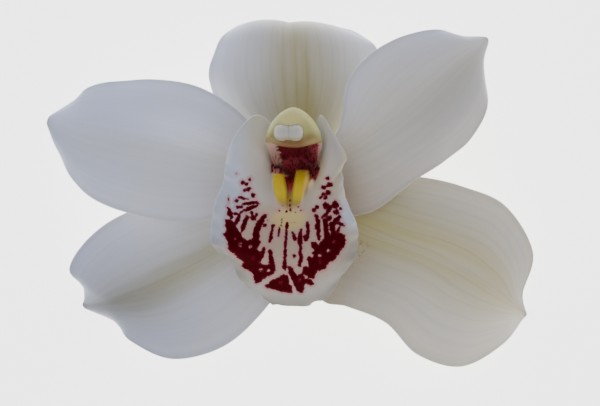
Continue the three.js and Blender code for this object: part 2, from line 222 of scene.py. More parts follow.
def fromTree(name, source, tree, sizes):
    # runs a geometry tree on a source object and keeps the result as a plain mesh
    holder = newObject(name + "_source", source)
    grown = holder.modifiers.new(name, "NODES")
    grown.node_group = tree
    for item in tree.interface.items_tree:
        if item.item_type == "SOCKET" and item.in_out == "INPUT" and item.name in sizes:
            grown[item.identifier] = sizes[item.name]
    mesh = bakedMesh(holder)
    bpy.data.objects.remove(holder)
    mesh.name = name
    return newObject(name, mesh)


def patches(places, x, y):
    # soft round patches, summed: each its place, its reach both ways and its strength
    total = np.zeros(x.shape)
    for atX, atY, reachX, reachY, strength in places:
        total += strength * np.exp(-((x - atX) / reachX) ** 2 - ((y - atY) / reachY) ** 2)
    return total


def faded(tints, measured):
    # each tint's strength at every measured point, within the fades that bound it
    found = {}
    for name, (strength, fades) in tints.items():
        for what, start, full in fades:
            strength = strength * smoothStep(start, full, measured[what])
        found[name] = strength
    return found


# camera: straight down on the face, as the photograph sees the bloom

view = {"lens": 100, "sensor": 36, "frameWidth": 150, "aim": (2.0, -5.25)}
viewHeight = view["frameWidth"] * view["lens"] / view["sensor"]

cameraData = bpy.data.cameras.new("camera")
cameraData.lens = view["lens"]
cameraData.sensor_width = view["sensor"]
camera = newObject("camera", cameraData)
camera.location = ((bloomCentre + (*view["aim"], viewHeight)) * mm).tolist()
bpy.context.scene.camera = camera


# petals and sepals

blade = {
    "rows": 130, "columns": 84, "midribHalf": 0.57, "edgeHalf": 0.26, "crowding": 1.12,
    "channelWidth": 0.13, "waveSkew": 2, "fineWave": 0.16, "fineWaves": 2.7, "fineSkew": 3,
    "rimFrom": 0.9, "rimShade": 0.15, "seedStep": 3.7, "veinColour": "#77703c",
    "tipColour": "#826c54", "fleckColour": "#96524a", "backColour": "#c3c4a6",
}

# Channel, swell and wave are heights in mm. The band is the olive flush along the midrib,
# at five stations from base to tip: where across the blade, how wide and how strong. Blush,
# painted shade, tip and fleck are soft patches: place along and across, reach along and
# across, strength. The painted shade darkens the blade where shade falls on it, and a
# negative strength paints light. The flecks stand at the foot of the lower right sepal,
# beside the lip. Cool is how blue the white is, a painted cool light: at the base, and how
# that grows along, across, to the edges.
dorsalSepal = {
    "node": "dorsal_sepal",
    "channel": 0.4, "swell": 0.6, "wave": 0.35, "waves": 2,
    "midrib": [
        (1, 5.4, -1.6), (0.8, 12, 0.4), (0.4, 19.4, 2), (0.1, 26.8, 2.6), (-0.2, 33.7, 1.4),
        (-0.5, 38.3, -1.6), (-0.7, 40.4, -6), (-0.9, 40.4, -10.8), (-0.9, 39.3, -14.85),
    ],
    "left": [
        (-1.8, 5, -1.6), (-10, 10, -1.2), (-17, 17.5, -0.6), (-20.5, 25.4, -0.4),
        (-19.7, 32, -1.2), (-16.85, 37.4, -3.8), (-11.6, 40, -7.6), (-6.4, 39.8, -11.6),
        (-2, 39.1, -14.7),
    ],
    "right": [
        (3.8, 5, -1.6), (10.8, 9.1, -1.6), (17.3, 16.1, -1.6), (21.1, 23.6, -1.6),
        (21.9, 30.1, -2.2), (20, 35.3, -4.4), (14.9, 38.7, -7.8), (7.4, 40.2, -11.8),
        (0.3, 39.1, -14.7),
    ],
    "white": "#cfcdca", "coolWhite": "#cacfe3", "cool": (-0.6, 1.2, -0.2, 0.8),
    "bandColour": "#a1954a", "veined": 0.75,
    "band": [(0.15, 0.5, 0.75), (0.14, 0.42, 0.82), (0.08, 0.36, 0.66), (0.04, 0.34, 0.5),
             (0, 0.3, 0.3)],
    "blushColour": "#aea27a", "blush": [(0.1, 0.2, 0.2, 1, 0.8)],
    "paintedShade": [(0.3, 0.5, 0.15, 0.5, 0.12), (0.3, -0.3, 0.2, 0.4, 0.1), (0.58, 0, 0.1, 1.5, 0.1)],
}

leftPetal = {
    "node": "left_petal",
    "channel": 0.35, "swell": 0.7, "wave": 0.5, "waves": 2.5,
    "midrib": [
        (-1.9, 2.6, -0.2), (-11, 4.2, 1.6), (-19.9, 5.9, 2.8), (-28.8, 7.9, 3),
        (-37.8, 9.9, 2.4), (-46.4, 11.9, 1), (-53.4, 13.4, -0.8), (-58.3, 14.6, -2.6),
        (-61.7, 15.2, -4),
    ],
    "left": [
        (-2.4, -0.2, -0.2), (-11, -5.5, 1.4), (-19.9, -9, 2.4), (-29.8, -9.8, 2.4),
        (-39.9, -7.8, 1.4), (-48.5, -4.6, -0.4), (-55, 0.6, -2), (-58.9, 7.7, -3.4),
        (-61.4, 13.8, -4.2),
    ],
    "right": [
        (-1.2, 5.2, -0.2), (-8.4, 12.1, 2.4), (-15, 18.6, 3.8), (-23.3, 23.4, 3.6),
        (-33.3, 25.3, 2.4), (-42.9, 25.1, 0.8), (-49.9, 23.9, -1), (-54.6, 20.6, -2.6),
        (-61.1, 16.6, -4),
    ],
    "white": "#d2d2d4", "coolWhite": "#cbd1e6", "cool": (-0.1, 1.5, 0.25, 0),
    "bandColour": "#b5b3a0", "veined": 0.4,
    "band": [(0, 0.4, 0.5), (-0.05, 0.3, 0.2), (-0.1, 0.3, 0.3), (-0.2, 0.4, 0.2), (0, 0.3, 0)],
    "blushColour": "#bdb7a4", "blush": [(0, 0, 0.2, 2, 0.7)],
    "paintedShade": [(0.35, 0.25, 0.2, 0.35, -0.22), (1, -0.6, 0.22, 0.5, 0.3)],
    "tip": [(1, -0.2, 0.012, 1, 0.5)],
}

rightPetal = {
    "node": "right_petal",
    "channel": 0.35, "swell": 0.7, "wave": 0.55, "waves": 2.5,
    "midrib": [
        (3.9, 2.6, -0.2), (11, 5.7, 2), (18.4, 9.7, 3.4), (25.3, 14.4, 3.8),
        (31.8, 19.8, 3.2), (37.8, 25.4, 1.8), (43, 30.2, 0.2), (46.7, 33.6, -1.6),
        (49.2, 36, -3),
    ],
    "left": [
        (3.4, 5.2, -0.2), (9.5, 9.1, 2.8), (12.5, 15.8, 4.8), (13.7, 24.1, 5),
        (19.3, 31.4, 3.8), (27.9, 36.1, 1.8), (36.8, 38, 0), (42.7, 36.6, -1.6),
        (48.5, 36.4, -3),
    ],
    "right": [
        (4.4, -0.2, -0.2), (11, -7.6, 1), (19.9, -7.2, 2.4), (29.8, 0.1, 2.8),
        (38.2, 5.5, 2.2), (44.7, 11, 1), (48.6, 19.1, -0.4), (47.7, 28.7, -2),
        (49.2, 34.9, -3.2),
    ],
    "white": "#d0cecc", "coolWhite": "#cacfe2", "cool": (-0.5, 0.8, -0.5, 0.2),
    "bandColour": "#b1ac90", "veined": 0.45,
    "band": [(0, 0.5, 0.6), (0.1, 0.5, 0.4), (0.1, 0.45, 0.45), (0.1, 0.4, 0.4), (0, 0.3, 0)],
    "blushColour": "#a3926c",
    # the second and third blush patches, at the edge beside the lip, are partly its own pinkish
    # brown and partly painted shade
    "blush": [(0.05, 0, 0.2, 2, 0.45), (0.2, 0.9, 0.16, 0.5, 0.35), (0.4, 1, 0.2, 0.3, 0.12)],
    "paintedShade": [
        (0.6, 0.4, 0.25, 0.35, 0.12), (0.2, 0.9, 0.2, 0.4, 0.04), (0.01, 0.22, 0.03, 0.15, 0.9),
    ],
    "tip": [(1, 0, 0.012, 1, 0.4), (0.16, 0.6, 0.03, 0.4, 0.3)],
}

leftSepal = {
    "node": "left_lateral_sepal",
    "channel": 0.35, "swell": 1.1, "wave": 0.4, "waves": 2,
    "midrib": [
        (-1.4, 0, -1.7), (-8, -9.5, -2), (-14.6, -15.6, -2.8), (-22.2, -20.1, -4),
        (-30.4, -24.3, -5.6), (-38.7, -28, -7.6), (-45.6, -30.2, -9.8), (-50, -31.1, -12.2),
        (-54.1, -31.6, -14.85),
    ],
    "left": [
        (0.5, -2.2, -1.7), (-2.5, -14, -1.4), (-3, -25.6, -1.2), (-9.7, -34.9, -1.4),
        (-18.3, -41.6, -2.4), (-30.4, -44.5, -4.6), (-40.8, -40.4, -8), (-45, -35.8, -11.2),
        (-53.3, -32.5, -14.7),
    ],
    "right": [
        (-2.3, 1.4, -1.7), (-12, -3.5, -1.4), (-22.1, -4, -1.8), (-33.2, -5, -2.8),
        (-44, -8.8, -4.6), (-52.3, -15, -7.2), (-57, -22.2, -10.4), (-53.7, -26.6, -12.4),
        (-53.5, -30.8, -14.7),
    ],
    "white": "#cfcecd", "coolWhite": "#c6cbde", "cool": (-0.2, 1.3, 0.1, 0.3),
    "bandColour": "#98915a", "veined": 0.5,
    "band": [(0.1, 0.35, 0.65), (0.04, 0.3, 0.62), (-0.02, 0.28, 0.7), (-0.06, 0.38, 0.55),
             (0, 0.6, 0.1)],
    "blushColour": "#b3ab88", "blush": [(0.1, 0, 0.25, 2, 0.35)],
    "paintedShade": [(0.9, 0, 0.3, 1.6, 0.34), (0.66, -0.12, 0.16, 0.34, 0.14)],
    "tip": [(1, 0, 0.02, 1, 0.7), (0.93, -1, 0.07, 0.06, 0.9)],
}

rightSepal = {
    "node": "right_lateral_sepal",
    "channel": 0.45, "swell": 0.8, "wave": 0.55, "waves": 2,
    "midrib": [
        (3.4, 0, -1.7), (10, -7.6, -1.8), (18.1, -12.2, -2), (26.6, -15.6, -2.4),
        (35.3, -18.7, -3.4), (43.5, -23, -5.4), (50.4, -27.4, -8.2), (56, -31.3, -11.6),
        (60.5, -34.2, -14.85),
    ],
    "left": [
        (4.3, 1.4, -1.7), (12, -0.6, -1.6), (22.1, 1.4, -1.6), (32.6, 1.1, -1.8),
        (43.3, -1.4, -2.8), (54, -6.2, -5.2), (61.2, -17.7, -8.4), (59.2, -28.1, -12),
        (60.2, -33.4, -14.7),
    ],
    "right": [
        (1.5, -2.2, -1.7), (4.2, -14, -1.6), (7, -28.6, -1.4), (13.9, -31.1, -1.2),
        (23.4, -35.1, -1.6), (31.7, -43.3, -3.4), (43.1, -46.6, -6.2), (53.8, -41.3, -10.4),
        (59.7, -34.9, -14.7),
    ],
    "white": "#d3d0c8", "coolWhite": "#d3d0c8", "cool": (0, 0, 0, 0),
    "bandColour": "#b2a85e", "veined": 0.8,
    "band": [(-0.1, 0.5, 0.75), (-0.15, 0.5, 0.72), (-0.12, 0.48, 0.66), (-0.06, 0.42, 0.6),
             (0, 0.4, 0.2)],
    "blushColour": "#a99d72", "blush": [(0.1, 0, 0.28, 2, 0.75)],
    "paintedShade": [(0.28, -0.8, 0.22, 0.5, 0.24), (0.3, 0.8, 0.2, 0.6, 0.12),
             (0.9, 0.5, 0.2, 0.8, -0.18)],
    "tip": [(1, 0, 0.015, 1, 0.5)], "fleck": [(0.26, 0.3, 0.035, 0.14, 1)],
}


def tepalSkin(look, seed):
    # Living waxy petal: matt and soft, light passes a little way through it, and
    # fine veins run lengthwise under the skin.
    material, tree, skin, place, read = newMaterial(
        "waxy petal, " + look["node"].replace("_", " "),
        "along", "across", "front", "band", "blush", "light", "cool", "tip", "fleck")
    along, across = read["along"], read["across"]

    # fibres: noise drawn out along the blade, about one a millimetre
    sideways = addNode(tree, "ShaderNodeMath", {0: across, 1: 22.0}, operation="MULTIPLY")
    lengthways = addNode(tree, "ShaderNodeMath", {0: along, 1: 2.2}, operation="MULTIPLY")
    drawnOut = addNode(tree, "ShaderNodeCombineXYZ", {0: sideways, 1: lengthways, 2: seed})
    fibres = addNode(tree, "ShaderNodeTexNoise", {"Vector": drawnOut, "Scale": 1.0, "Detail": 4.0})
    broad = addNode(
        tree, "ShaderNodeVectorMath", {0: drawnOut, 1: (0.3, 0.8, 1)}, operation="MULTIPLY")
    stripes = addNode(tree, "ShaderNodeTexNoise", {"Vector": broad, "Scale": 1.0, "Detail": 2.0})
    cloud = addNode(
        tree, "ShaderNodeTexNoise", {"Vector": place, "Scale": 0.06 / mm, "Detail": 3.0})

    # veins: lines some 2.5 mm apart that run from base to tip, unevenly dark
    spread = addNode(tree, "ShaderNodeMath", {0: across, 1: 7.0}, operation="MULTIPLY")
    spread = addNode(
        tree, "ShaderNodeMath", {0: stripes, 1: 1.3, 2: spread}, operation="MULTIPLY_ADD")
    gap = addNode(tree, "ShaderNodeMath", {0: spread, 1: 0.5}, operation="PINGPONG")
    veins = addNode(
        tree, "ShaderNodeMapRange", {0: gap, 1: 0.16, 2: 0.0}, interpolation_type="SMOOTHSTEP")
    patchy = addNode(tree, "ShaderNodeMapRange", {0: fibres, 1: 0.35, 2: 0.65, 3: 0.3, 4: 1.0})
    veins = addNode(tree, "ShaderNodeMath", {0: veins, 1: patchy}, operation="MULTIPLY")
    greener = addNode(
        tree, "ShaderNodeMath", {0: read["band"], 1: 0.3, 2: 0.1}, operation="MULTIPLY_ADD")
    veined = addNode(tree, "ShaderNodeMath", {0: veins, 1: greener}, operation="MULTIPLY")
    veined = addNode(tree, "ShaderNodeMath", {0: veined, 1: look["veined"]}, operation="MULTIPLY")

    striped = addNode(tree, "ShaderNodeMapRange", {0: stripes, 1: 0.3, 2: 0.65, 3: 0.7, 4: 1.1})
    band = addNode(tree, "ShaderNodeMath", {0: read["band"], 1: striped}, operation="MULTIPLY")
    # the painted cool light, made uneven by the cloud
    uneven = addNode(tree, "ShaderNodeMapRange", {0: cloud, 1: 0.3, 2: 0.7, 3: -0.15, 4: 0.15})
    cool = addNode(tree, "ShaderNodeMath", {0: read["cool"], 1: uneven}, operation="ADD")
    grains = addNode(
        tree, "ShaderNodeTexNoise", {"Vector": place, "Scale": 1.5 / mm, "Detail": 2.0})
    grains = addNode(tree, "ShaderNodeMapRange", {0: grains, 1: 0.58, 2: 0.64})
    flecked = addNode(tree, "ShaderNodeMath", {0: read["fleck"], 1: grains}, operation="MULTIPLY")

    colour = addNode(
        tree, "ShaderNodeMix", {0: cool, 6: look["white"], 7: look["coolWhite"]}, data_type="RGBA")
    for mask, paintColour in [
        (read["blush"], look["blushColour"]), (band, look["bandColour"]),
        (veined, blade["veinColour"]), (flecked, blade["fleckColour"]),
        (read["tip"], blade["tipColour"]),
    ]:
        colour = addNode(
            tree, "ShaderNodeMix", {0: mask, 6: colour, 7: paintColour}, data_type="RGBA")
    # the fibres' uneven tone, times the painted light and shade
    fibresAndPaintedLight = addNode(tree, "ShaderNodeMapRange", {0: fibres, 1: 0.3, 2: 0.7, 3: 0.96, 4: 1.02})
    fibresAndPaintedLight = addNode(tree, "ShaderNodeMath", {0: fibresAndPaintedLight, 1: read["light"]}, operation="MULTIPLY")
    colour = addNode(tree, "ShaderNodeVectorMath", {0: colour, 3: fibresAndPaintedLight}, operation="SCALE")
    under = addNode(tree, "ShaderNodeMapRange", {0: read["front"], 1: 0.0, 2: 0.5, 3: 0.35, 4: 0.0})
    colour = addNode(
        tree, "ShaderNodeMix", {0: under, 6: colour, 7: blade["backColour"]}, data_type="RGBA")

    # skin cells of about 0.2 mm give the satin; the veins stand a little proud
    cells = addNode(tree, "ShaderNodeTexNoise", {"Vector": place, "Scale": 4.5 / mm, "Detail": 2.0})
    relief = addNode(
        tree, "ShaderNodeMath", {0: cells, 1: 0.25, 2: fibres}, operation="MULTIPLY_ADD")
    relief = addNode(
        tree, "ShaderNodeMath", {0: veins, 1: 0.3, 2: relief}, operation="MULTIPLY_ADD")
    bump = addNode(
        tree, "ShaderNodeBump", {"Strength": 0.35, "Distance": 0.18 * mm, "Height": relief})
    setInputs(tree, skin, {
        "Base Color": colour, "Normal": bump, "Roughness": 0.48, "Subsurface Weight": 0.3,
        "Subsurface Radius": (1.0, 0.95, 0.8), "Subsurface Scale": 1.2 * mm,
        "Sheen Weight": 0.08,
    })
    return material


def makeBlade(look, seed):
    def smooth(s, t):
        # a parabola through the left edge, the midrib and the right edge
        low, high = through(look["left"], s), through(look["right"], s)
        middle, t = through(look["midrib"], s), t[..., None]
        return low * (t * t - t) / 2 + middle * (1 - t * t) + high * (t * t + t) / 2

    def relief(s, t):
        channel = -look["channel"] * np.exp(-(t / blade["channelWidth"]) ** 2)
        swell = look["swell"] * np.sin(np.pi * np.abs(t)) ** 2
        turns = 2 * np.pi * look["waves"] * s + blade["waveSkew"] * t
        wave = look["wave"] * np.abs(t) ** 3 * np.sin(turns)
        turns = 2 * np.pi * (blade["fineWaves"] * look["waves"] + 1) * s + blade["fineSkew"] * t
        wave = wave + blade["fineWave"] * np.abs(t) ** 5 * np.sin(turns + seed)
        return np.sin(np.pi * s) * (channel + swell + wave)

    def halfThickness(s, t):
        thinning = np.maximum(t * t, s * s) ** 1.5
        return blade["midribHalf"] + (blade["edgeHalf"] - blade["midribHalf"]) * thinning

    s = np.linspace(0, 1, blade["rows"] + 1)
    u = np.linspace(-1, 1, blade["columns"] + 1)
    t = np.sign(u) * np.abs(u) ** blade["crowding"]
    vertices, faces, painted = thinSheet(raised(smooth, relief), halfThickness, s, t)
    vertices[:, 2] = np.maximum(vertices[:, 2], -bloomCentre[2])  # the tips rest on the table
    s, t = painted["along"], painted["across"]
    at, width, strength = through(look["band"], s).T
    painted["band"] = strength * np.exp(-((t - at) / width) ** 2)
    # painted shade: the soft patches darken the blade or, where negative, paint light, and the rim
    # is painted darker
    rim = smoothStep(blade["rimFrom"], 1, np.maximum(np.abs(t), s))
    painted["light"] = (1 - patches(look["paintedShade"], s, t)) * (1 - blade["rimShade"] * rim)
    # painted cool light: how far the white turns to the cool white
    painted["cool"] = np.array([np.ones(s.shape), s, t, t * t]).T @ np.array(look["cool"])
    for name in ("blush", "tip", "fleck"):
        painted[name] = patches(look.get(name, []), s, t)
    piece = addPiece(look["node"] + "_blade", vertices, faces, tepalSkin(look, seed), painted)
    standFor(piece, look["node"])


for seed, look in enumerate([dorsalSepal, leftPetal, rightPetal, leftSepal, rightSepal]):
    makeBlade(look, blade["seedStep"] * seed)
    print("blade made:", look["node"])


# lip

lip = {
    "rows": 270, "columnsPerSide": 86, "crowding": 1.15, "half": 0.47, "edgeHalf": 0.26,
    "ruffle": 0.6, "ruffles": 8, "ruffledFrom": 0.42, "ruffledFully": 0.52,
    "ruffledWidth": 0.45, "ruffleSkew": 2, "fineRuffle": 0.22, "fineRuffles": 20.8,
    "fineSkew": 1.7, "fineDrift": 0.4, "driftTurn": 9,
    "middle": [
        (1, 0.8, 1.2), (0.9, -0.3, 5.2), (0.7, -1.3, 9.6), (0.4, -2.6, 13.2), (0.1, -4.6, 16),
        (-0.1, -7, 17.4), (-0.2, -9.8, 18), (-0.3, -13.2, 17.6), (-0.4, -17.6, 16),
        (-0.5, -22.2, 13), (-0.6, -26.6, 9), (-0.7, -30.3, 5),
    ],
    "floor": [2, 5, 5.8, 6.4, 6.8, 6.8, 6.8, 6.8, 6.6, 5.6, 4, 2],
    "leftEdge": [
        (-2.8, 0.9, 1.2), (-3.4, 8.4, 6.4), (-4.2, 12.6, 13.4), (-8, 15.3, 19),
        (-13, 10.9, 21), (-15.6, 4.7, 20.5), (-15.9, 0.7, 19.5), (-18.1, -5.7, 18.5),
        (-19.3, -13.6, 15.8), (-15.4, -18.8, 12), (-10.6, -25.6, 8), (-4.7, -30, 5),
    ],
    "leftLean": [
        (0.6, -0.6, 0), (-4.4, -4.4, -0.4), (-4.8, -5.6, -0.8), (-1.8, -6.6, -1.6),
        (1.8, -6.4, -0.8), (3.6, -4, 0.2), (4, -2.6, 0.6), (4.6, -1.6, 1), (4.8, -1.2, 1.4),
        (3.8, -0.4, 1.4), (2.6, 0, 1), (1.2, 0.2, 0.4),
    ],
    "rightEdge": [
        (4.9, 0.9, 1.2), (5.4, 8.4, 6.4), (5.8, 12.6, 13.4), (6.4, 15, 20), (10.5, 10.6, 22),
        (13.25, 5.1, 21.4), (11.75, 0.9, 20.1), (13.4, -5.7, 19.5), (15.9, -13.2, 17),
        (14.2, -19.5, 13.5), (9.7, -26.6, 8.4), (4.3, -30.7, 5),
    ],
    "rightLean": [
        (-0.6, -0.6, 0), (4.4, -4.4, -0.4), (5, -5.6, -0.8), (3.8, -6.6, 0), (-1.6, -4.8, 1.4),
        (-4.4, -2.6, 1.8), (-2.4, -2, 1), (-3.6, -1.8, 1), (-4.6, -1.2, 1.4),
        (-3.8, -0.4, 1.4), (-2.6, 0, 1), (-1.2, 0.2, 0.4),
    ],
    "rimRoll": 0.9, "rollFrom": 0.76, "rollAlong": (0.12, 0.22, 0.46, 0.56),
    "cool": "#b3b7c2", "warm": "#aca69c", "cream": "#b7a781", "pale": "#a89684",
    "maroon": "#40030a", "maroonEdge": "#5e0e1e", "keel": "#ccb228", "keelLow": "#98813c",
    "patch": "#bba76c", "throat": "#8a3038", "throatDark": "#4c121c", "throatPale": "#b8807c",
    # the first is painted light: a bright red for the deep throat between the keels, which lies in
    # shade
    "throatPaintedLight": "#f46c70", "blush": "#ad7a7e",
    # painted shade patches on the lip, as on the blades; a negative strength paints light into
    # walls and corners that lie in shade
    "paintedShade": [
        (0.38, -1, 0.1, 0.15, 0.15), (0.82, -1, 0.13, 0.22, 0.3), (1, 0, 0.07, 2, 0.3),
        (0.8, 0.97, 0.13, 0.2, 0.26), (0.36, 0.65, 0.18, 0.45, -0.2),
        (0.23, 0.6, 0.1, 0.35, -0.5), (0.48, 0, 0.1, 0.6, -0.2),
        (0.29, -0.55, 0.14, 0.35, -0.35), (0.65, -0.92, 0.07, 0.12, -0.18),
        (0.13, 0.55, 0.07, 0.3, -0.6), (0.1, -0.78, 0.07, 0.25, -0.6),
        (0.08, 0.62, 0.035, 0.15, -1), (0.09, -0.62, 0.04, 0.2, -0.7),
    ],
    # ovals of colour, soft patches of painted light beside the right keel, and its creamy side, all
    # in mm
    "patchOval": (-0.75, -9.3, 4.4, 2.8), "paleOval": (-0.5, -15, 15, 11),
    "paintedCornerLight": [(5, 2.6, 1.1, 1.2, 0.6)], "paintedFlankLight": [(4.4, 0.6, 0.9, 1.9, 1.5)],
    # the second is painted light on the right keel's creamy side
    "creamRise": 4, "creamGlow": 0.35, "creamCover": 0.4,
}

# The lip's tints: how strong each is, and the fades that bound it. A fade says what is
# measured, where the tint sets in and where it is full. X and y are mm on the tracing, and
# height is mm above the bloom's centre. Side and gap are mm from the tracing's middle and
# from the keels', lift is how far a keel raises the sheet, belowTop and pastKeel are mm from
# a keel's red top and from its creamy edge, and an oval's share is 1 at its rim.
lipTints = {
    "ridge": (1, [("lift", 0.3, 0.8)]),
    "keels": (1, [("belowTop", -0.25, 0.25), ("y", -7.4, -5.6)]),
    "floor": (0.75, [("gap", 2.2, 1.2), ("y", -2.2, -3.4)]),
    # painted light in the deep throat between the keels
    "between": (1, [("gap", 2.2, 1.2)]),
    "creamSide": (1, [("pastKeel", -0.8, 0.1)]),
    "low": (1, [("y", -1, -6)]),
    "rosy": (0.8, [("x", -2.8, -3.6)]),
    "patch": (0.85, [("patchOval", 1.3, 0.6)]),
    "pale": (1, [("paleOval", 1.15, 0.75)]),
    "throat": (1, [("throatDepth", -0.35, 0.35), ("height", 19, 17.5)]),
    "cream": (0.7, [("creamHeight", 19.5, 15), ("y", -8, 0), ("x", -5.5, -4), ("y", 9, 5)]),
    "coolLeft": (1, [("x", -8, -15), ("y", -18, -13)]),
    "coolRight": (1, [("x", 11, 13), ("y", -13, -10), ("y", 2, -1)]),
    "coolWall": (0.15, [("side", 5, 7), ("y", 2, 7)]),
}

# two yellow keels down the lip's floor, one on either side of its middle line
keel = {
    "middleX": -0.55, "squareness": 4, "drop": 4, "knee": 0.2, "endFade": 0.9,
    "sideReach": 1.6, "reach": 4,
    "topY": (2.0, 2.9),  # where the throat's red begins on the left keel and on the right
    "creamX": 3.5, "creamRun": 6,  # the creamy side's edge: x at y = 0, and mm up for one across
    "offset": [3.4, 3.4, 3.4, 3, 2.35, 1.95],
    "y": [0.2, 0.4, 0.3, -1.2, -3.8, -7.4],
    "z": [4, 8, 11, 14, 16.2, 17.4],
    "halfWidth": [1.5, 1.75, 1.8, 1.75, 1.6, 1.4],
    "halfHeight": [2, 2.4, 2.6, 2.1, 1.5, 0.6],
}

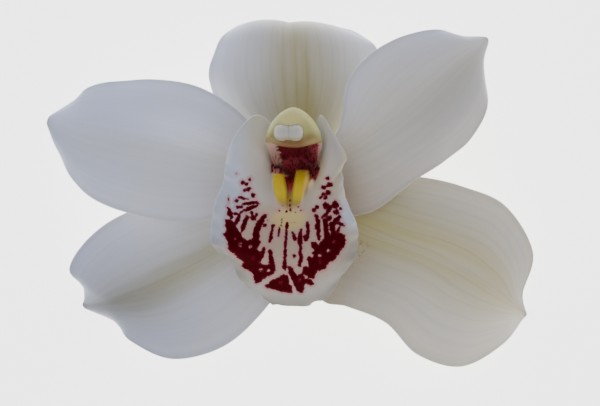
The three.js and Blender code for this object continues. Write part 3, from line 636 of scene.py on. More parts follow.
# The maroon marks, laid out in mm on a flat tracing of the lip's face: dots are x, y,
# width and height, streaks are lines of x, y and width, blotches are outlines, and holes
# are paler spots in them, x, y and radius.
marks = {
    "dots": [
        (-14, 2.2, 0.5, 0.5), (-10.7, 0.8, 1, 0.8), (-12.5, 0, 1.2, 1), (-11.5, -0.4, 1.1, 0.8),
        (-9.8, -3.2, 1.4, 1.5), (-14.1, -4.6, 1.4, 1), (-13.3, -6.2, 2, 1.3),
        (-14.1, -7.8, 1.5, 1.1), (-10.2, -7.5, 1.1, 1.1), (-9.8, -8.9, 1.6, 1.5),
        (-9, -8, 0.8, 0.7), (-6.8, -10.8, 1.1, 1.1), (8.8, 1, 1.3, 1.1), (9.2, -0.5, 1.5, 1.2),
        (7.8, -1.2, 1.4, 1), (9, -2.5, 1.6, 1.6), (7.8, -2.9, 1.1, 1), (7, -3.8, 1.2, 0.9),
        (8.2, -3.8, 1.5, 1), (6.2, -6.1, 1.1, 1.1), (5.2, -7, 1.2, 1.1), (8.3, -5.7, 2.1, 1.8),
        (10.7, -5.5, 2.4, 2.1), (12, -6.5, 1, 1.1), (11, -7.5, 1.9, 1.4), (9.3, -8.9, 1.5, 1.6),
        (3, -13.5, 1.1, 1.1), (0.5, -18.4, 1.1, 1), (12.5, -10.6, 1.2, 1.1),
        (-3.2, -7, 0.7, 0.5), (-1.5, -7.2, 0.6, 0.5), (-0.7, -4.5, 0.5, 0.6),
        (-0.6, -5.7, 0.5, 0.6), (-0.5, -6.8, 0.5, 0.7), (2, -7, 0.7, 0.5), (0.8, -7.5, 0.6, 0.4),
        (-2.5, -5.8, 0.6, 0.4), (1.4, -6.1, 0.5, 0.4), (-0.2, -10, 0.4, 0.35),
        (0.6, -10, 0.4, 0.35), (-6.2, -9.4, 0.4, 0.35),
    ],
    "streaks": [
        [(-12, -2.1, 0.8), (-11.1, -1.8, 1.1), (-10.5, -1.6, 0.8)],
        [(-13.4, -3.7, 0.5), (-12.8, -3.8, 0.8), (-12, -4, 0.7), (-11.1, -4.2, 0.5)],
        [(-12.6, -5.4, 0.6), (-11.5, -5.2, 0.8), (-10.5, -5.1, 0.9), (-9.2, -5.1, 0.9),
         (-8.4, -5.3, 0.6)],
        [(-8.7, -5.7, 0.9), (-9.5, -6.1, 1.2), (-10.6, -6.5, 1.1), (-11.9, -7, 1.1),
         (-13.1, -7.4, 1)],
        [(-16, -3.6, 0.25), (-16, -4.5, 0.35), (-16, -5.5, 0.3)],
        [(-16.2, -6.1, 0.8), (-15.9, -6.9, 1.1), (-15.6, -7.8, 1.6), (-15.2, -8.5, 1)],
        [(-13.1, -7.6, 1), (-13.5, -8.6, 1.2), (-14, -9.9, 1.2)],
        [(-11.4, -8.9, 1.1), (-11.9, -10.2, 1.2), (-12.4, -11.4, 1.2), (-12.7, -12.1, 0.8)],
        [(-6.8, -8.4, 1.1), (-7.8, -9.5, 1.2), (-8.5, -10.8, 1.6), (-9, -12, 1.9),
         (-9.1, -13.5, 1.9), (-9.2, -14.9, 1.9)],
        [(-4.9, -10.9, 1), (-5.2, -12.4, 1.1), (-5.5, -13.8, 1.1), (-5.7, -14.9, 0.9)],
        [(-5.6, -17.1, 1.2), (-5.5, -18.6, 1.4), (-5.2, -19.8, 1.4), (-4.8, -21.5, 1.3)],
        [(-3.3, -11.3, 0.7), (-3.4, -12.2, 0.8), (-3.5, -13.2, 0.6)],
        [(-2.5, -8.8, 0.35), (-2.7, -10, 0.6), (-2.8, -10.8, 0.6)],
        [(-1.4, -10.1, 0.8), (-1.5, -12.3, 0.8), (-1.7, -14.6, 0.9), (-1.8, -16.9, 0.9),
         (-1.9, -19, 1.1), (-1.9, -21.5, 1.1)],
        [(-0, -12.5, 0.8), (0.3, -13.2, 1.1), (0.7, -14.2, 1)],
        [(2.2, -11.9, 0.9), (2, -13.2, 1.1), (1.8, -14.4, 1.3), (2, -16.3, 1.2),
         (2.1, -18.6, 1.1), (1.8, -20.6, 1)],
        [(3.8, -10.2, 0.9), (3.9, -11.9, 1.1), (3.8, -13.2, 1), (3.3, -14.4, 0.9)],
        [(6, -8.5, 1.1), (6.4, -9.8, 1.2), (6.3, -11.1, 1.4), (6.5, -12.5, 1.2),
         (6.6, -14.2, 0.8)],
        [(8.2, -9.6, 1.1), (8.3, -11.1, 1.7), (8.5, -12.5, 1.7), (8.8, -14, 1.8)],
        [(9.3, -6.4, 1.4), (8.8, -7.5, 1.1), (7.9, -8.3, 0.8), (7.2, -8.9, 0.5)],
        [(11.7, -8.6, 1.2), (10.8, -9.5, 1.6), (9.9, -10.6, 1.8), (10, -11.8, 1.6),
         (10.5, -13.2, 2)],
        [(11, -9.9, 1.1), (12.3, -10.6, 1.1)],
        [(11.7, -11.2, 0.8), (11.2, -12.5, 1.1)],
    ],
    "blotches": [
        [(-16.8, -9.2), (-15.8, -9.4), (-14.6, -10), (-14, -11.1), (-13.4, -12.5),
         (-12.8, -13.5), (-12, -14.4), (-11.1, -14.7), (-10.4, -14.1), (-9.8, -14),
         (-8.9, -14.6), (-8.1, -14.8), (-8.5, -16), (-9.1, -16.5), (-8.5, -17.3), (-8, -17.9),
         (-7.7, -17.1), (-7.3, -16.3), (-6.8, -16.6), (-7.1, -17.6), (-7.2, -18.7),
         (-7.7, -19.2), (-8.2, -19.7), (-8.5, -20.1), (-7.7, -20.7), (-6.4, -20.7),
         (-5.2, -20.4), (-4.8, -21.2), (-4.3, -21.8), (-5, -23), (-6.4, -23.4), (-7.6, -24.3),
         (-8.5, -25.1), (-9.1, -25.2), (-9.5, -24.1), (-9.6, -22.9), (-10.5, -22),
         (-11.8, -21.5), (-12.6, -20.8), (-12.2, -20), (-13.2, -19), (-14.1, -18.2),
         (-15.1, -17.5), (-15.9, -16.7), (-16.1, -15.2), (-16.5, -14.1), (-17.1, -13),
         (-16.5, -12.1), (-16.7, -10.8)],
        [(-2.3, -22.9), (-3.8, -23.9), (-5.4, -24.7), (-6.9, -25.8), (-6.2, -26.2),
         (-4.5, -26.5), (-3.1, -27.2), (-1.8, -27.3), (-0.3, -27.6), (-0, -26.7), (-0.8, -25),
         (-1.3, -23.3)],
        [(-1.2, -20.8), (0, -21.3), (0.5, -22.5), (1.2, -23.1), (2, -22.7), (2.8, -22.8),
         (3.1, -23.9), (4.5, -24.4), (5.3, -25.4), (4.7, -25.9), (3.3, -25.2), (2.7, -25.7),
         (2.8, -26.7), (2.5, -27.6), (1.8, -27.5), (0.9, -26.5), (0.2, -25), (-0.5, -23.3),
         (-1, -22.2)],
        [(10.3, -12.6), (11.8, -12.8), (13, -13.2), (13.2, -14.5), (12.8, -16), (11.8, -17),
         (11.7, -18), (10.8, -18.2), (10.5, -19.3), (9.2, -19.9), (8.7, -20.6), (8.3, -21.4),
         (7.4, -21.7), (6, -22.1), (5.7, -23.2), (5.2, -23.9), (3.8, -23.6), (2.7, -23),
         (2.5, -22.2), (2.9, -21.2), (3.5, -21), (4, -21.2), (4.1, -20.2), (3.8, -19.2),
         (4, -18.5), (4.9, -18.8), (5.5, -18.1), (5, -17.6), (5.9, -17), (5, -16.1),
         (4.7, -15.1), (5.7, -15), (6.6, -16.1), (7, -15.1), (8.2, -13.9)],
    ],
    "holes": [
        (-14.5, -13.9, 0.33), (-13, -15.3, 0.33), (-13, -16, 0.3), (-10.5, -16, 0.35),
        (-9.8, -19, 0.35), (-8, -21.9, 0.4), (-6, -22, 0.33), (-2.9, -25, 0.42),
        (1.8, -24.5, 0.35), (10.5, -14.9, 0.35), (9.1, -17, 0.38), (6.9, -18.2, 0.33),
        (7, -19.8, 0.35),
    ],
    "holePaleness": -0.03, "narrower": 0.12, "wider": 0.08, "shift": (0.12, -0.12),
    # the part of the tracing that is dark red throat
    "throat": [
        (-4.9, 9), (6.2, 9), (6.2, 4.4), (7.2, 3.4), (6.6, 1.6), (5.75, 0), (5, 1),
        (4.5, 2.8), (2, 2.9), (0.6, -0.7), (-0.5, -3.1), (-1.4, -0.7), (-3, 2), (-5.4, 2.3),
    ],
}


def lipSurface(s, t):
    # each cross line is a curve from the middle over the floor to an edge; t runs from the
    # right edge to the left one, so that the sheet faces up
    onLeft = (t > 0)[..., None]
    way = np.where(t > 0, -1.0, 1.0)
    start = through(lip["middle"], s)
    end = np.where(onLeft, through(lip["leftEdge"], s), through(lip["rightEdge"], s))
    lean = np.where(onLeft, through(lip["leftLean"], s), through(lip["rightLean"], s))
    leaves = start.copy()
    leaves[..., 0] += way * through(lip["floor"], s)
    arrives, u = end + lean, np.abs(t)[..., None]
    v = 1 - u
    return start * v ** 3 + 3 * leaves * u * v * v + 3 * arrives * u * u * v + end * u ** 3


def lipRuffles(s, t):
    nearEdge = np.maximum(0, np.abs(t) - 1 + lip["ruffledWidth"]) / lip["ruffledWidth"]
    forward = smoothStep(lip["ruffledFrom"], lip["ruffledFully"], s)
    turns = 2 * np.pi * lip["ruffles"] * s - lip["ruffleSkew"] * t
    broad = lip["ruffle"] * nearEdge ** 2 * np.sin(turns)
    drift = lip["fineDrift"] * np.sin(lip["driftTurn"] * s)  # no two fine ruffles are alike
    turns = 2 * np.pi * (lip["fineRuffles"] * s + drift) + lip["fineSkew"] * t
    fine = lip["fineRuffle"] * nearEdge ** 4 * np.sin(turns)
    # the side lobes' rims roll outwards
    rim = np.maximum(0, np.abs(t) - lip["rollFrom"]) / (1 - lip["rollFrom"])
    start, full, fading, end = lip["rollAlong"]
    besideColumn = smoothStep(start, full, s) * smoothStep(end, fading, s)
    return -forward * (broad + fine) - lip["rimRoll"] * rim ** 2 * besideColumn


def keelLift(place):
    # how each point of the sheet moves to lie on either keel's flattened back
    lift = np.zeros(place.shape)
    for side in (-1, 1):
        path = np.stack([
            keel["middleX"] + side * np.array(keel["offset"]),
            np.array(keel["y"], float), np.array(keel["z"], float)], -1)
        u = np.linspace(0, 1, 121)
        line = through(path, u)
        gap = np.linalg.norm(place[..., None, :] - line, axis=-1)
        near = gap.argmin(-1)
        way = unit(np.gradient(line, axis=0))
        sideways = unit(np.array([1.0, 0, 0]) - way * way[:, :1])
        upward = np.cross(way, sideways)[near]
        apart = place - line[near]
        across = np.abs((apart * sideways[near]).sum(-1)) / through(keel["halfWidth"], u)[near]
        past = np.abs((apart * way[near]).sum(-1))  # beyond either end of the keel
        power = keel["squareness"]
        oval = (1 - np.minimum(across, 1) ** power) ** (1 / power)
        drop = keel["drop"] * np.maximum(0, across - 1)  # the keel's flank falls away
        tall = through(keel["halfHeight"], u)[near] * oval - drop
        rise = (tall - (apart * upward).sum(-1)) * np.exp(-(past / keel["endFade"]) ** 2)
        outside = (across > keel["sideReach"]) | (gap.min(-1) > keel["reach"])
        rise = np.where(outside, 0, rise)
        knee = keel["knee"]  # the keel's foot runs into the sheet
        rise = np.maximum((rise + np.sqrt(rise ** 2 + knee ** 2)) / 2 - knee / 2, 0)
        lift = lift + upward * rise[..., None]
    return lift


def distanceToLine(points, line):
    # mm from a line of x, y points, less half its width there where they have one
    nearest = np.full(len(points), 1e3)
    for start, end in zip(line[:-1], line[1:]):
        a, ab = np.array(start[:2]), np.subtract(end[:2], start[:2])
        u = np.clip((points - a) @ ab / (ab @ ab), 0, 1)
        away = np.linalg.norm(points - a - u[:, None] * ab, axis=1)
        if len(start) == 3:
            away = away - (start[2] + (end[2] - start[2]) * u) / 2
        nearest = np.minimum(nearest, away)
    return nearest


def insideOutline(points, outline):
    inside = np.zeros(len(points), bool)
    for (ax, ay), (bx, by) in zip(outline, outline[1:] + outline[:1]):
        crosses = (ay > points[:, 1]) != (by > points[:, 1])
        rise = by - ay if by != ay else 1e-9
        inside ^= crosses & (points[:, 0] < ax + (points[:, 1] - ay) * (bx - ax) / rise)
    return inside


def markDepth(points):
    # mm inside the nearest mark's edge, below 0 outside
    points = points - marks["shift"]
    depth = np.full(len(points), -3.0)
    for x, y, wide, tall in marks["dots"]:
        reach = np.linalg.norm((points - (x, y)) / (wide / 2, tall / 2), axis=1)
        depth = np.maximum(depth, (1 - reach) * min(wide, tall) / 2 - marks["narrower"])
    for line in marks["streaks"]:
        depth = np.maximum(depth, -distanceToLine(points, line) - marks["narrower"])
    for outline in marks["blotches"]:
        depth = np.maximum(depth, outlineDepth(points, outline) + marks["wider"])
    for x, y, radius in marks["holes"]:
        beyond = np.linalg.norm(points - (x, y), axis=1) - radius
        depth = np.minimum(depth, np.maximum(beyond, marks["holePaleness"]))
    return depth


def outlineDepth(points, outline):
    edge = distanceToLine(points, outline + outline[:1])
    return np.where(insideOutline(points, outline), edge, -edge)


def onTracing(place):
    # where a point shows on the flat tracing, taken from the camera's height
    nearer = viewHeight / (viewHeight - place[..., 2])
    aimX, aimY = view["aim"]
    x = aimX + (place[..., 0] - aimX) * nearer
    y = aimY + (place[..., 1] - aimY) * nearer
    return np.stack([x, y], -1)


throatStreaks = (2.4 / mm, 0.9 / mm, 0.3 / mm)  # how close they are in x, y and z


def lipSkin():
    # Waxy lip tissue, velvety and almost without shine: white, with maroon marks whose
    # edges are ragged where cells of either colour meet, and egg-yellow keels.
    material, tree, skin, place, read = newMaterial(
        "waxy lip tissue, maroon marks", "along", "across", "front", "mark", "yellow", "low",
        "patch", "throat", "cream", "pale", "warmth", "light", "rosy", "between")
    ragged = addNode(
        tree, "ShaderNodeTexNoise", {"Vector": place, "Scale": 1.5 / mm, "Detail": 3.0})
    lobed = addNode(
        tree, "ShaderNodeTexNoise", {"Vector": place, "Scale": 0.48 / mm, "Detail": 2.0})
    cloud = addNode(
        tree, "ShaderNodeTexNoise", {"Vector": place, "Scale": 0.16 / mm, "Detail": 3.0})

    shift = addNode(tree, "ShaderNodeMath", {0: ragged, 1: 0.47}, operation="SUBTRACT")
    depth = addNode(
        tree, "ShaderNodeMath", {0: shift, 1: 0.9, 2: read["mark"]}, operation="MULTIPLY_ADD")
    shift = addNode(tree, "ShaderNodeMath", {0: lobed, 1: 0.47}, operation="SUBTRACT")
    depth = addNode(tree, "ShaderNodeMath", {0: shift, 1: 0.9, 2: depth}, operation="MULTIPLY_ADD")
    marked = addNode(
        tree, "ShaderNodeMapRange", {0: depth, 1: -0.12, 2: 0.1}, interpolation_type="SMOOTHSTEP")
    seeThrough = addNode(tree, "ShaderNodeMapRange", {0: read["front"], 3: 0.12, 4: 1.0})
    marked = addNode(tree, "ShaderNodeMath", {0: marked, 1: seeThrough}, operation="MULTIPLY")
    bleeding = addNode(
        tree, "ShaderNodeMapRange", {0: depth, 1: -0.9, 2: -0.05, 3: 0.0, 4: 0.65},
        interpolation_type="SMOOTHSTEP")

    uneven = addNode(tree, "ShaderNodeMath", {0: cloud, 1: 0.5}, operation="SUBTRACT")
    warmth = addNode(
        tree, "ShaderNodeMath", {0: uneven, 1: 0.8, 2: read["warmth"]}, operation="MULTIPLY_ADD")
    colour = addNode(
        tree, "ShaderNodeMix", {0: warmth, 6: lip["cool"], 7: lip["warm"]}, data_type="RGBA")
    # dark streaks run up the throat
    drawnUp = addNode(
        tree, "ShaderNodeVectorMath", {0: place, 1: throatStreaks}, operation="MULTIPLY")
    streaks = addNode(tree, "ShaderNodeTexNoise", {"Vector": drawnUp, "Scale": 1.0, "Detail": 2.0})
    streaked = addNode(
        tree, "ShaderNodeMapRange", {0: streaks, 1: 0.48, 2: 0.56}, interpolation_type="SMOOTHSTEP")
    throat = addNode(
        tree, "ShaderNodeMix", {0: read["rosy"], 6: lip["throat"], 7: lip["throatPale"]},
        data_type="RGBA")
    throat = addNode(
        # painted light: the deep throat turns bright red
        tree, "ShaderNodeMix", {0: read["between"], 6: throat, 7: lip["throatPaintedLight"]},
        data_type="RGBA")
    # fewer dark streaks where the throat's painted light is
    paler = addNode(tree, "ShaderNodeMapRange", {0: read["between"], 3: 1.0, 4: 0.35})
    streaked = addNode(tree, "ShaderNodeMath", {0: streaked, 1: paler}, operation="MULTIPLY")
    throat = addNode(
        tree, "ShaderNodeMix", {0: streaked, 6: throat, 7: lip["throatDark"]}, data_type="RGBA")
    lower = addNode(
        tree, "ShaderNodeMath", {0: uneven, 1: 1.2, 2: read["low"]}, operation="MULTIPLY_ADD",
        use_clamp=True)
    lower = addNode(tree, "ShaderNodeMath", {0: lower, 1: read["low"]}, operation="MULTIPLY")
    yellow = addNode(
        tree, "ShaderNodeMix", {0: lower, 6: lip["keel"], 7: lip["keelLow"]}, data_type="RGBA")
    for mask, paintColour in [
        (read["pale"], lip["pale"]), (read["cream"], lip["cream"]),
        (bleeding, lip["blush"]), (read["patch"], lip["patch"]),
        (read["throat"], throat), (read["yellow"], yellow),
    ]:
        colour = addNode(
            tree, "ShaderNodeMix", {0: mask, 6: colour, 7: paintColour}, data_type="RGBA")
    # the painted light and shade scale the colour
    colour = addNode(tree, "ShaderNodeVectorMath", {0: colour, 3: read["light"]}, operation="SCALE")
    core = addNode(
        tree, "ShaderNodeMapRange", {0: depth, 1: 0.0, 2: 0.5}, interpolation_type="SMOOTHSTEP")
    maroon = addNode(
        tree, "ShaderNodeMix", {0: core, 6: lip["maroonEdge"], 7: lip["maroon"]}, data_type="RGBA")
    colour = addNode(tree, "ShaderNodeMix", {0: marked, 6: colour, 7: maroon}, data_type="RGBA")

    # low swellings between veins, and cells of about 0.2 mm
    sideways = addNode(tree, "ShaderNodeMath", {0: read["across"], 1: 16.0}, operation="MULTIPLY")
    lengthways = addNode(tree, "ShaderNodeMath", {0: read["along"], 1: 5.0}, operation="MULTIPLY")
    drawnOut = addNode(tree, "ShaderNodeCombineXYZ", {0: sideways, 1: lengthways})
    veins = addNode(tree, "ShaderNodeTexNoise", {"Vector": drawnOut, "Scale": 1.0, "Detail": 3.0})
    cells = addNode(tree, "ShaderNodeTexNoise", {"Vector": place, "Scale": 4.5 / mm, "Detail": 2.0})
    relief = addNode(tree, "ShaderNodeMath", {0: cells, 1: 0.3, 2: veins}, operation="MULTIPLY_ADD")
    bump = addNode(
        tree, "ShaderNodeBump", {"Strength": 0.4, "Distance": 0.2 * mm, "Height": relief})
    setInputs(tree, skin, {
        "Base Color": colour, "Normal": bump, "Roughness": 0.6, "IOR": 1.15,
        "Specular IOR Level": 0.04, "Subsurface Weight": 0.08,
        "Subsurface Radius": (1.0, 0.85, 0.75), "Subsurface Scale": 0.5 * mm,
    })
    return material


def ovalShare(points, oval):
    # 0 at the oval's middle, 1 at its rim
    x, y, reachX, reachY = oval
    return np.hypot((points[:, 0] - x) / reachX, (points[:, 1] - y) / reachY)


def paintLip(painted, place, lift):
    # place is where each point shows, and lift is how far a keel raises it, both in mm
    flat, height = onTracing(place), place[:, 2]
    x, y = flat.T
    tints = faded(lipTints, {
        "x": x, "y": y, "height": height, "side": np.abs(x), "lift": lift,
        "gap": np.abs(x - keel["middleX"]),
        "belowTop": np.where(x < keel["middleX"], *keel["topY"]) - y,
        "pastKeel": x - keel["creamX"] - y / keel["creamRun"],
        "creamHeight": height - lip["creamRise"] * (x > 0),
        "patchOval": ovalShare(flat, lip["patchOval"]),
        "paleOval": ovalShare(flat, lip["paleOval"]),
        "throatDepth": outlineDepth(flat, marks["throat"]),
    })
    for name in ("patch", "throat", "cream", "pale"):
        painted[name] = painted["front"] * tints[name]
    yellow = np.maximum(tints["ridge"], painted["front"] * tints["floor"])
    painted["yellow"] = yellow * tints["keels"] * (1 - lip["creamCover"] * tints["creamSide"])
    painted["low"], painted["rosy"] = tints["low"], tints["rosy"]
    # painted light in the deep throat between the keels and in its corner
    painted["between"] = np.maximum(tints["between"], patches(lip["paintedCornerLight"], x, y))
    painted["mark"] = markDepth(flat)
    cool = np.maximum(tints["coolWall"], np.maximum(tints["coolLeft"], tints["coolRight"]))
    painted["warmth"] = 1 - cool
    # painted shade and light on the lip: the soft patches, then painted light on the right keel's
    # creamy side and flank
    paintedShade = patches(lip["paintedShade"], painted["along"], painted["across"])
    glow = lip["creamGlow"] * tints["creamSide"] * tints["ridge"]
    painted["light"] = (1 - paintedShade) * (1 + glow + patches(lip["paintedFlankLight"], x, y))


def makeLip():
    smooth = raised(lipSurface, lipRuffles)
    s = np.linspace(0, 1, lip["rows"] + 1)
    u = np.linspace(-1, 1, 2 * lip["columnsPerSide"] + 1)
    t = np.sign(u) * np.abs(u) ** lip["crowding"]
    lift = keelLift(smooth(*np.meshgrid(s, t, indexing="ij"))).reshape(-1, 3)
    count = len(lift)  # the points of the sheet's face

    def halfThickness(s, t):
        return lip["half"] + (lip["edgeHalf"] - lip["half"]) * t ** 2

    vertices, faces, painted = thinSheet(smooth, halfThickness, s, t)
    vertices[:count] += lift
    shown, lifted = vertices.copy(), np.zeros(len(vertices))
    shown[count:2 * count] = vertices[:count]  # the back is painted as its face is
    lifted[:count] = np.linalg.norm(lift, axis=-1)
    paintLip(painted, shown, lifted)
    piece = addPiece("lip_flesh", vertices, faces, lipSkin(), painted)
    standFor(piece, "lip")
    print("lip made:", len(vertices), "points")
    return piece


lipPiece = makeLip()


# column, with the anther cap and the pollen in its tip

column = {
    "sides": 120, "rows": 150, "domePower": 1.2, "tipRows": 14, "tipRise": 0.4,
    "x": [1.1, 1.1, 1, 0.8, 0.6, 0.4, 0.1, -0.3],
    "height": [0.95, 6, 12.5, 18.5, 23, 26, 28, 29.2],
    "wingY": [1.6, 2.9, 4.5, 6.6, 8.6, 9.6, 10.2, 11],
    "backY": [6.6, 8.4, 11.4, 14.6, 16.6, 17.2, 16.3, 14.2],
    "halfWidth": [2.5, 4.35, 5.5, 6, 6.6, 6.5, 5.2, 2.8],
    "hollow": [0, 0.7, 1.2, 1.3, 0.2, -1.9, -1.6, 0],
    # the second is the hood's deeper yellow with painted shade down its sides
    "hood": "#c6ba74", "hoodSideShade": "#a0a064", "flap": "#6e4c28", "cavity": "#6c1828",
    # the first here is painted light: a bright pink for the low hollow, which lies in shade
    "deep": "#f46e7e", "dark": "#340610", "wing": "#c29c92", "flush": "#6a2c1e",
    "hoodPale": "#c2b884", "redFrom": 24.4, "redLeft": -0.66, "redRight": 0.9,
    "flushAt": [(4, 10, 1.5, 1, 0.3)], "flapFrom": 0.6, "underFade": (0.7, 0.2),
    "sharpAngle": 50,
    # The column's tints, written as the lip's are. Steep is 0 where the skin faces up, across
    # is the share of the half width, off is its size, side is mm from the middle, and
    # fromEdge is mm above the lower edge of the flap under the cap.
    "tints": {
        "wrap": (1.8, [("z", 20.5, 18.5)]),  # mm that the inner colour goes round the wings
        "tip": (1, [("z", 23.2, 24.4)]),
        # painted shade, with the hood's deeper yellow, where the skin turns to the side
        "steepSide": (0.9, [("steep", 0.05, 0.6)]),
        "wideSide": (0.9, [("off", 0.4, 1)]),
        "flap": (1, [("z", 23.2, 24.4), ("fromEdge", 3.6, 0.8)]),
        "flapEnds": (0.4, [("side", 1.5, 5.5)]),
        "streaky": (0.55, [("z", 19, 15)]),
        # painted light low in the hollow and towards its right side
        "deep": (1, [("z", 15.5, 4)]),
        "deepRight": (0.25, [("across", 0.35, 0.8)]),
    },
}

antherCap = {
    "lobes": [
        ((-2.3, 11.18, 28.3), (1.88, 2, 2.3)), ((1, 11.18, 28.3), (1.88, 2, 2.3)),
        ((-0.65, 11.3, 28.2), (1.2, 1.88, 2.15)),
    ],
    "squareness": 2.3, "rows": 90, "sides": 140, "colour": "#b8b8ae", "shade": "#8f856c",
    "grooveX": -0.65, "grooveWidth": 0.22, "grooveShade": 0.35,
    "tints": {
        # side and groove are painted shade, foot darkens the lower margin
        "side": (0.7, [("steep", 0.05, 0.7)]),
        "foot": (0.6, [("y", 10.6, 9.3)]),
        "groove": (0.5, [("y", 11.6, 12.8)]),
    },
}

pollen = {
    "lobes": [
        ((-1.75, 11.4, 26.6), (0.85, 1.05, 0.75)), ((0.45, 11.4, 26.6), (0.85, 1.05, 0.75)),
        ((-0.65, 10.5, 26.3), (1.4, 0.6, 0.5)), ((-0.65, 10.1, 26.3), (0.9, 0.7, 0.4)),
    ],
    "squareness": 2, "rows": 44, "sides": 64, "colour": "#d9a92c", "shade": "#b98716",
}

seatGap = 0.06  # between the pieces in the column's tip


def lobedSkin(look, grow=0.0, softness=0.06, farthest=8.0, halvings=36):
    # one smooth skin over several boxy lobes, found along rays from their middle
    rows, sides, power = look["rows"], look["sides"], look["squareness"]
    places = np.array([place for place, radii in look["lobes"]], float)
    radii = np.array([radii for place, radii in look["lobes"]], float) + grow
    middle = places.mean(0)
    poleGap = 0.02  # radians
    polar = np.linspace(poleGap, np.pi - poleGap, rows)[:, None]
    turn = np.linspace(0, 2 * np.pi, sides, endpoint=False)[None, :]
    ray = np.stack([
        np.sin(polar) * np.cos(turn), np.sin(polar) * np.sin(turn),
        np.broadcast_to(-np.cos(polar), (rows, sides))], -1)
    low, high = np.zeros((rows, sides)), np.full((rows, sides), farthest)
    for _ in range(halvings):
        length = (low + high) / 2
        point = middle + ray * length[..., None]
        share = np.abs(point[..., None, :] - places) / radii
        flat = (share[..., :2] ** power).sum(-1) ** (1 / power)
        each = np.hypot(flat, share[..., 2]) - 1
        joined = -softness * np.log(np.exp(-each / softness).sum(-1))
        low, high = np.where(joined < 0, length, low), np.where(joined < 0, high, length)
    return ringSkin(middle + ray * length[..., None])


def columnProfile(s):
    names = ("x", "height", "wingY", "backY", "halfWidth", "hollow")
    return [through(column[name], s) for name in names]


def columnRings():
    # each ring is a dome over a hollowed underside
    angle = np.linspace(0, 2 * np.pi, column["sides"], endpoint=False)
    cos, sin = np.cos(angle), np.sin(angle)
    rings = []
    for s in np.linspace(0, 1, column["rows"] + 1):
        x, height, wingY, backY, halfWidth, hollow = columnProfile(np.array(s))
        power = column["domePower"]
        sideways = np.where(sin >= 0, np.sign(cos) * np.abs(cos) ** power, cos)
        back = wingY + (backY - wingY) * np.maximum(sin, 0) ** power
        y = np.where(sin >= 0, back, wingY + hollow * (1 - cos ** 2))
        rings.append(np.stack([x + halfWidth * sideways, y, np.full_like(y, height)], -1))
    last, middle = rings[-1], rings[-1].mean(0)
    for share in np.linspace(1, 0, column["tipRows"] + 1)[1:-1]:  # the tip rounds over
        ring = middle + (last - middle) * share
        ring[:, 2] += column["tipRise"] * (1 - share ** 2)
        rings.append(ring)
    return np.array(rings)


def columnSkin():
    # Waxy column tissue: pale yellow outside, with a streaked wine-red hollow, a little
    # glossier than the petals.
    material, tree, skin, place, read = newMaterial(
        "waxy column tissue", "side", "flap", "flush", "cavity", "wing", "streaky", "deep")
    drawnOut = addNode(
        tree, "ShaderNodeVectorMath", {0: place, 1: throatStreaks}, operation="MULTIPLY")
    streaks = addNode(tree, "ShaderNodeTexNoise", {"Vector": drawnOut, "Scale": 1.0, "Detail": 2.0})
    cloud = addNode(
        tree, "ShaderNodeTexNoise", {"Vector": place, "Scale": 0.25 / mm, "Detail": 3.0})
    ragged = addNode(
        tree, "ShaderNodeTexNoise", {"Vector": place, "Scale": 0.9 / mm, "Detail": 3.0})
    shift = addNode(tree, "ShaderNodeMath", {0: ragged, 1: 0.5}, operation="SUBTRACT")
    depth = addNode(
        tree, "ShaderNodeMath", {0: shift, 1: 2.2, 2: read["cavity"]}, operation="MULTIPLY_ADD")
    red = addNode(
        tree, "ShaderNodeMapRange", {0: depth, 1: -0.25, 2: 0.3}, interpolation_type="SMOOTHSTEP")
    colour = addNode(
        tree, "ShaderNodeMix", {0: cloud, 6: column["hood"], 7: column["hoodPale"]},
        data_type="RGBA")
    # painted light: the deep red turns a bright pink low in the hollow, where shade falls
    redPaintedLight = addNode(tree, "ShaderNodeMath", {0: red, 1: read["deep"]}, operation="MULTIPLY")
    # the sides are painted a deeper yellow, partly their own and partly painted shade
    for mask, paintColour in [
        (read["side"], column["hoodSideShade"]), (read["flap"], column["flap"]),
        (read["flush"], column["flush"]), (read["wing"], column["wing"]),
        (red, column["cavity"]), (redPaintedLight, column["deep"]),
    ]:
        colour = addNode(
            tree, "ShaderNodeMix", {0: mask, 6: colour, 7: paintColour}, data_type="RGBA")
    dark = addNode(
        tree, "ShaderNodeMapRange", {0: streaks, 1: 0.5, 2: 0.56, 3: 0.0, 4: 0.85},
        interpolation_type="SMOOTHSTEP")
    inside = addNode(tree, "ShaderNodeMath", {0: red, 1: read["streaky"]}, operation="MAXIMUM")
    dark = addNode(tree, "ShaderNodeMath", {0: dark, 1: inside}, operation="MULTIPLY")
    # fewer dark streaks where the painted light is
    upper = addNode(tree, "ShaderNodeMapRange", {0: read["deep"], 3: 1.0, 4: 0.7})
    dark = addNode(tree, "ShaderNodeMath", {0: dark, 1: upper}, operation="MULTIPLY")
    colour = addNode(
        tree, "ShaderNodeMix", {0: dark, 6: colour, 7: column["dark"]}, data_type="RGBA")
    cells = addNode(tree, "ShaderNodeTexNoise", {"Vector": place, "Scale": 3 / mm, "Detail": 2.0})
    bump = addNode(
        tree, "ShaderNodeBump", {"Strength": 0.25, "Distance": 0.1 * mm, "Height": cells})
    setInputs(tree, skin, {
        "Base Color": colour, "Normal": bump, "Roughness": 0.4, "Specular IOR Level": 0.15,
        "Subsurface Weight": 0.15, "Subsurface Scale": 1 * mm,
    })
    return material


def pointsOf(mesh):
    # x, y and z from the bloom's centre, and how far each point faces away from upwards
    points, normals = np.zeros((2, len(mesh.vertices) * 3), np.float32)
    mesh.vertices.foreach_get("co", points)
    mesh.vertex_normals.foreach_get("vector", normals)
    x, y, z = (points.reshape(-1, 3) / mm - bloomCentre).T
    return x, y, z, 1 - normals.reshape(-1, 3)[:, 2]


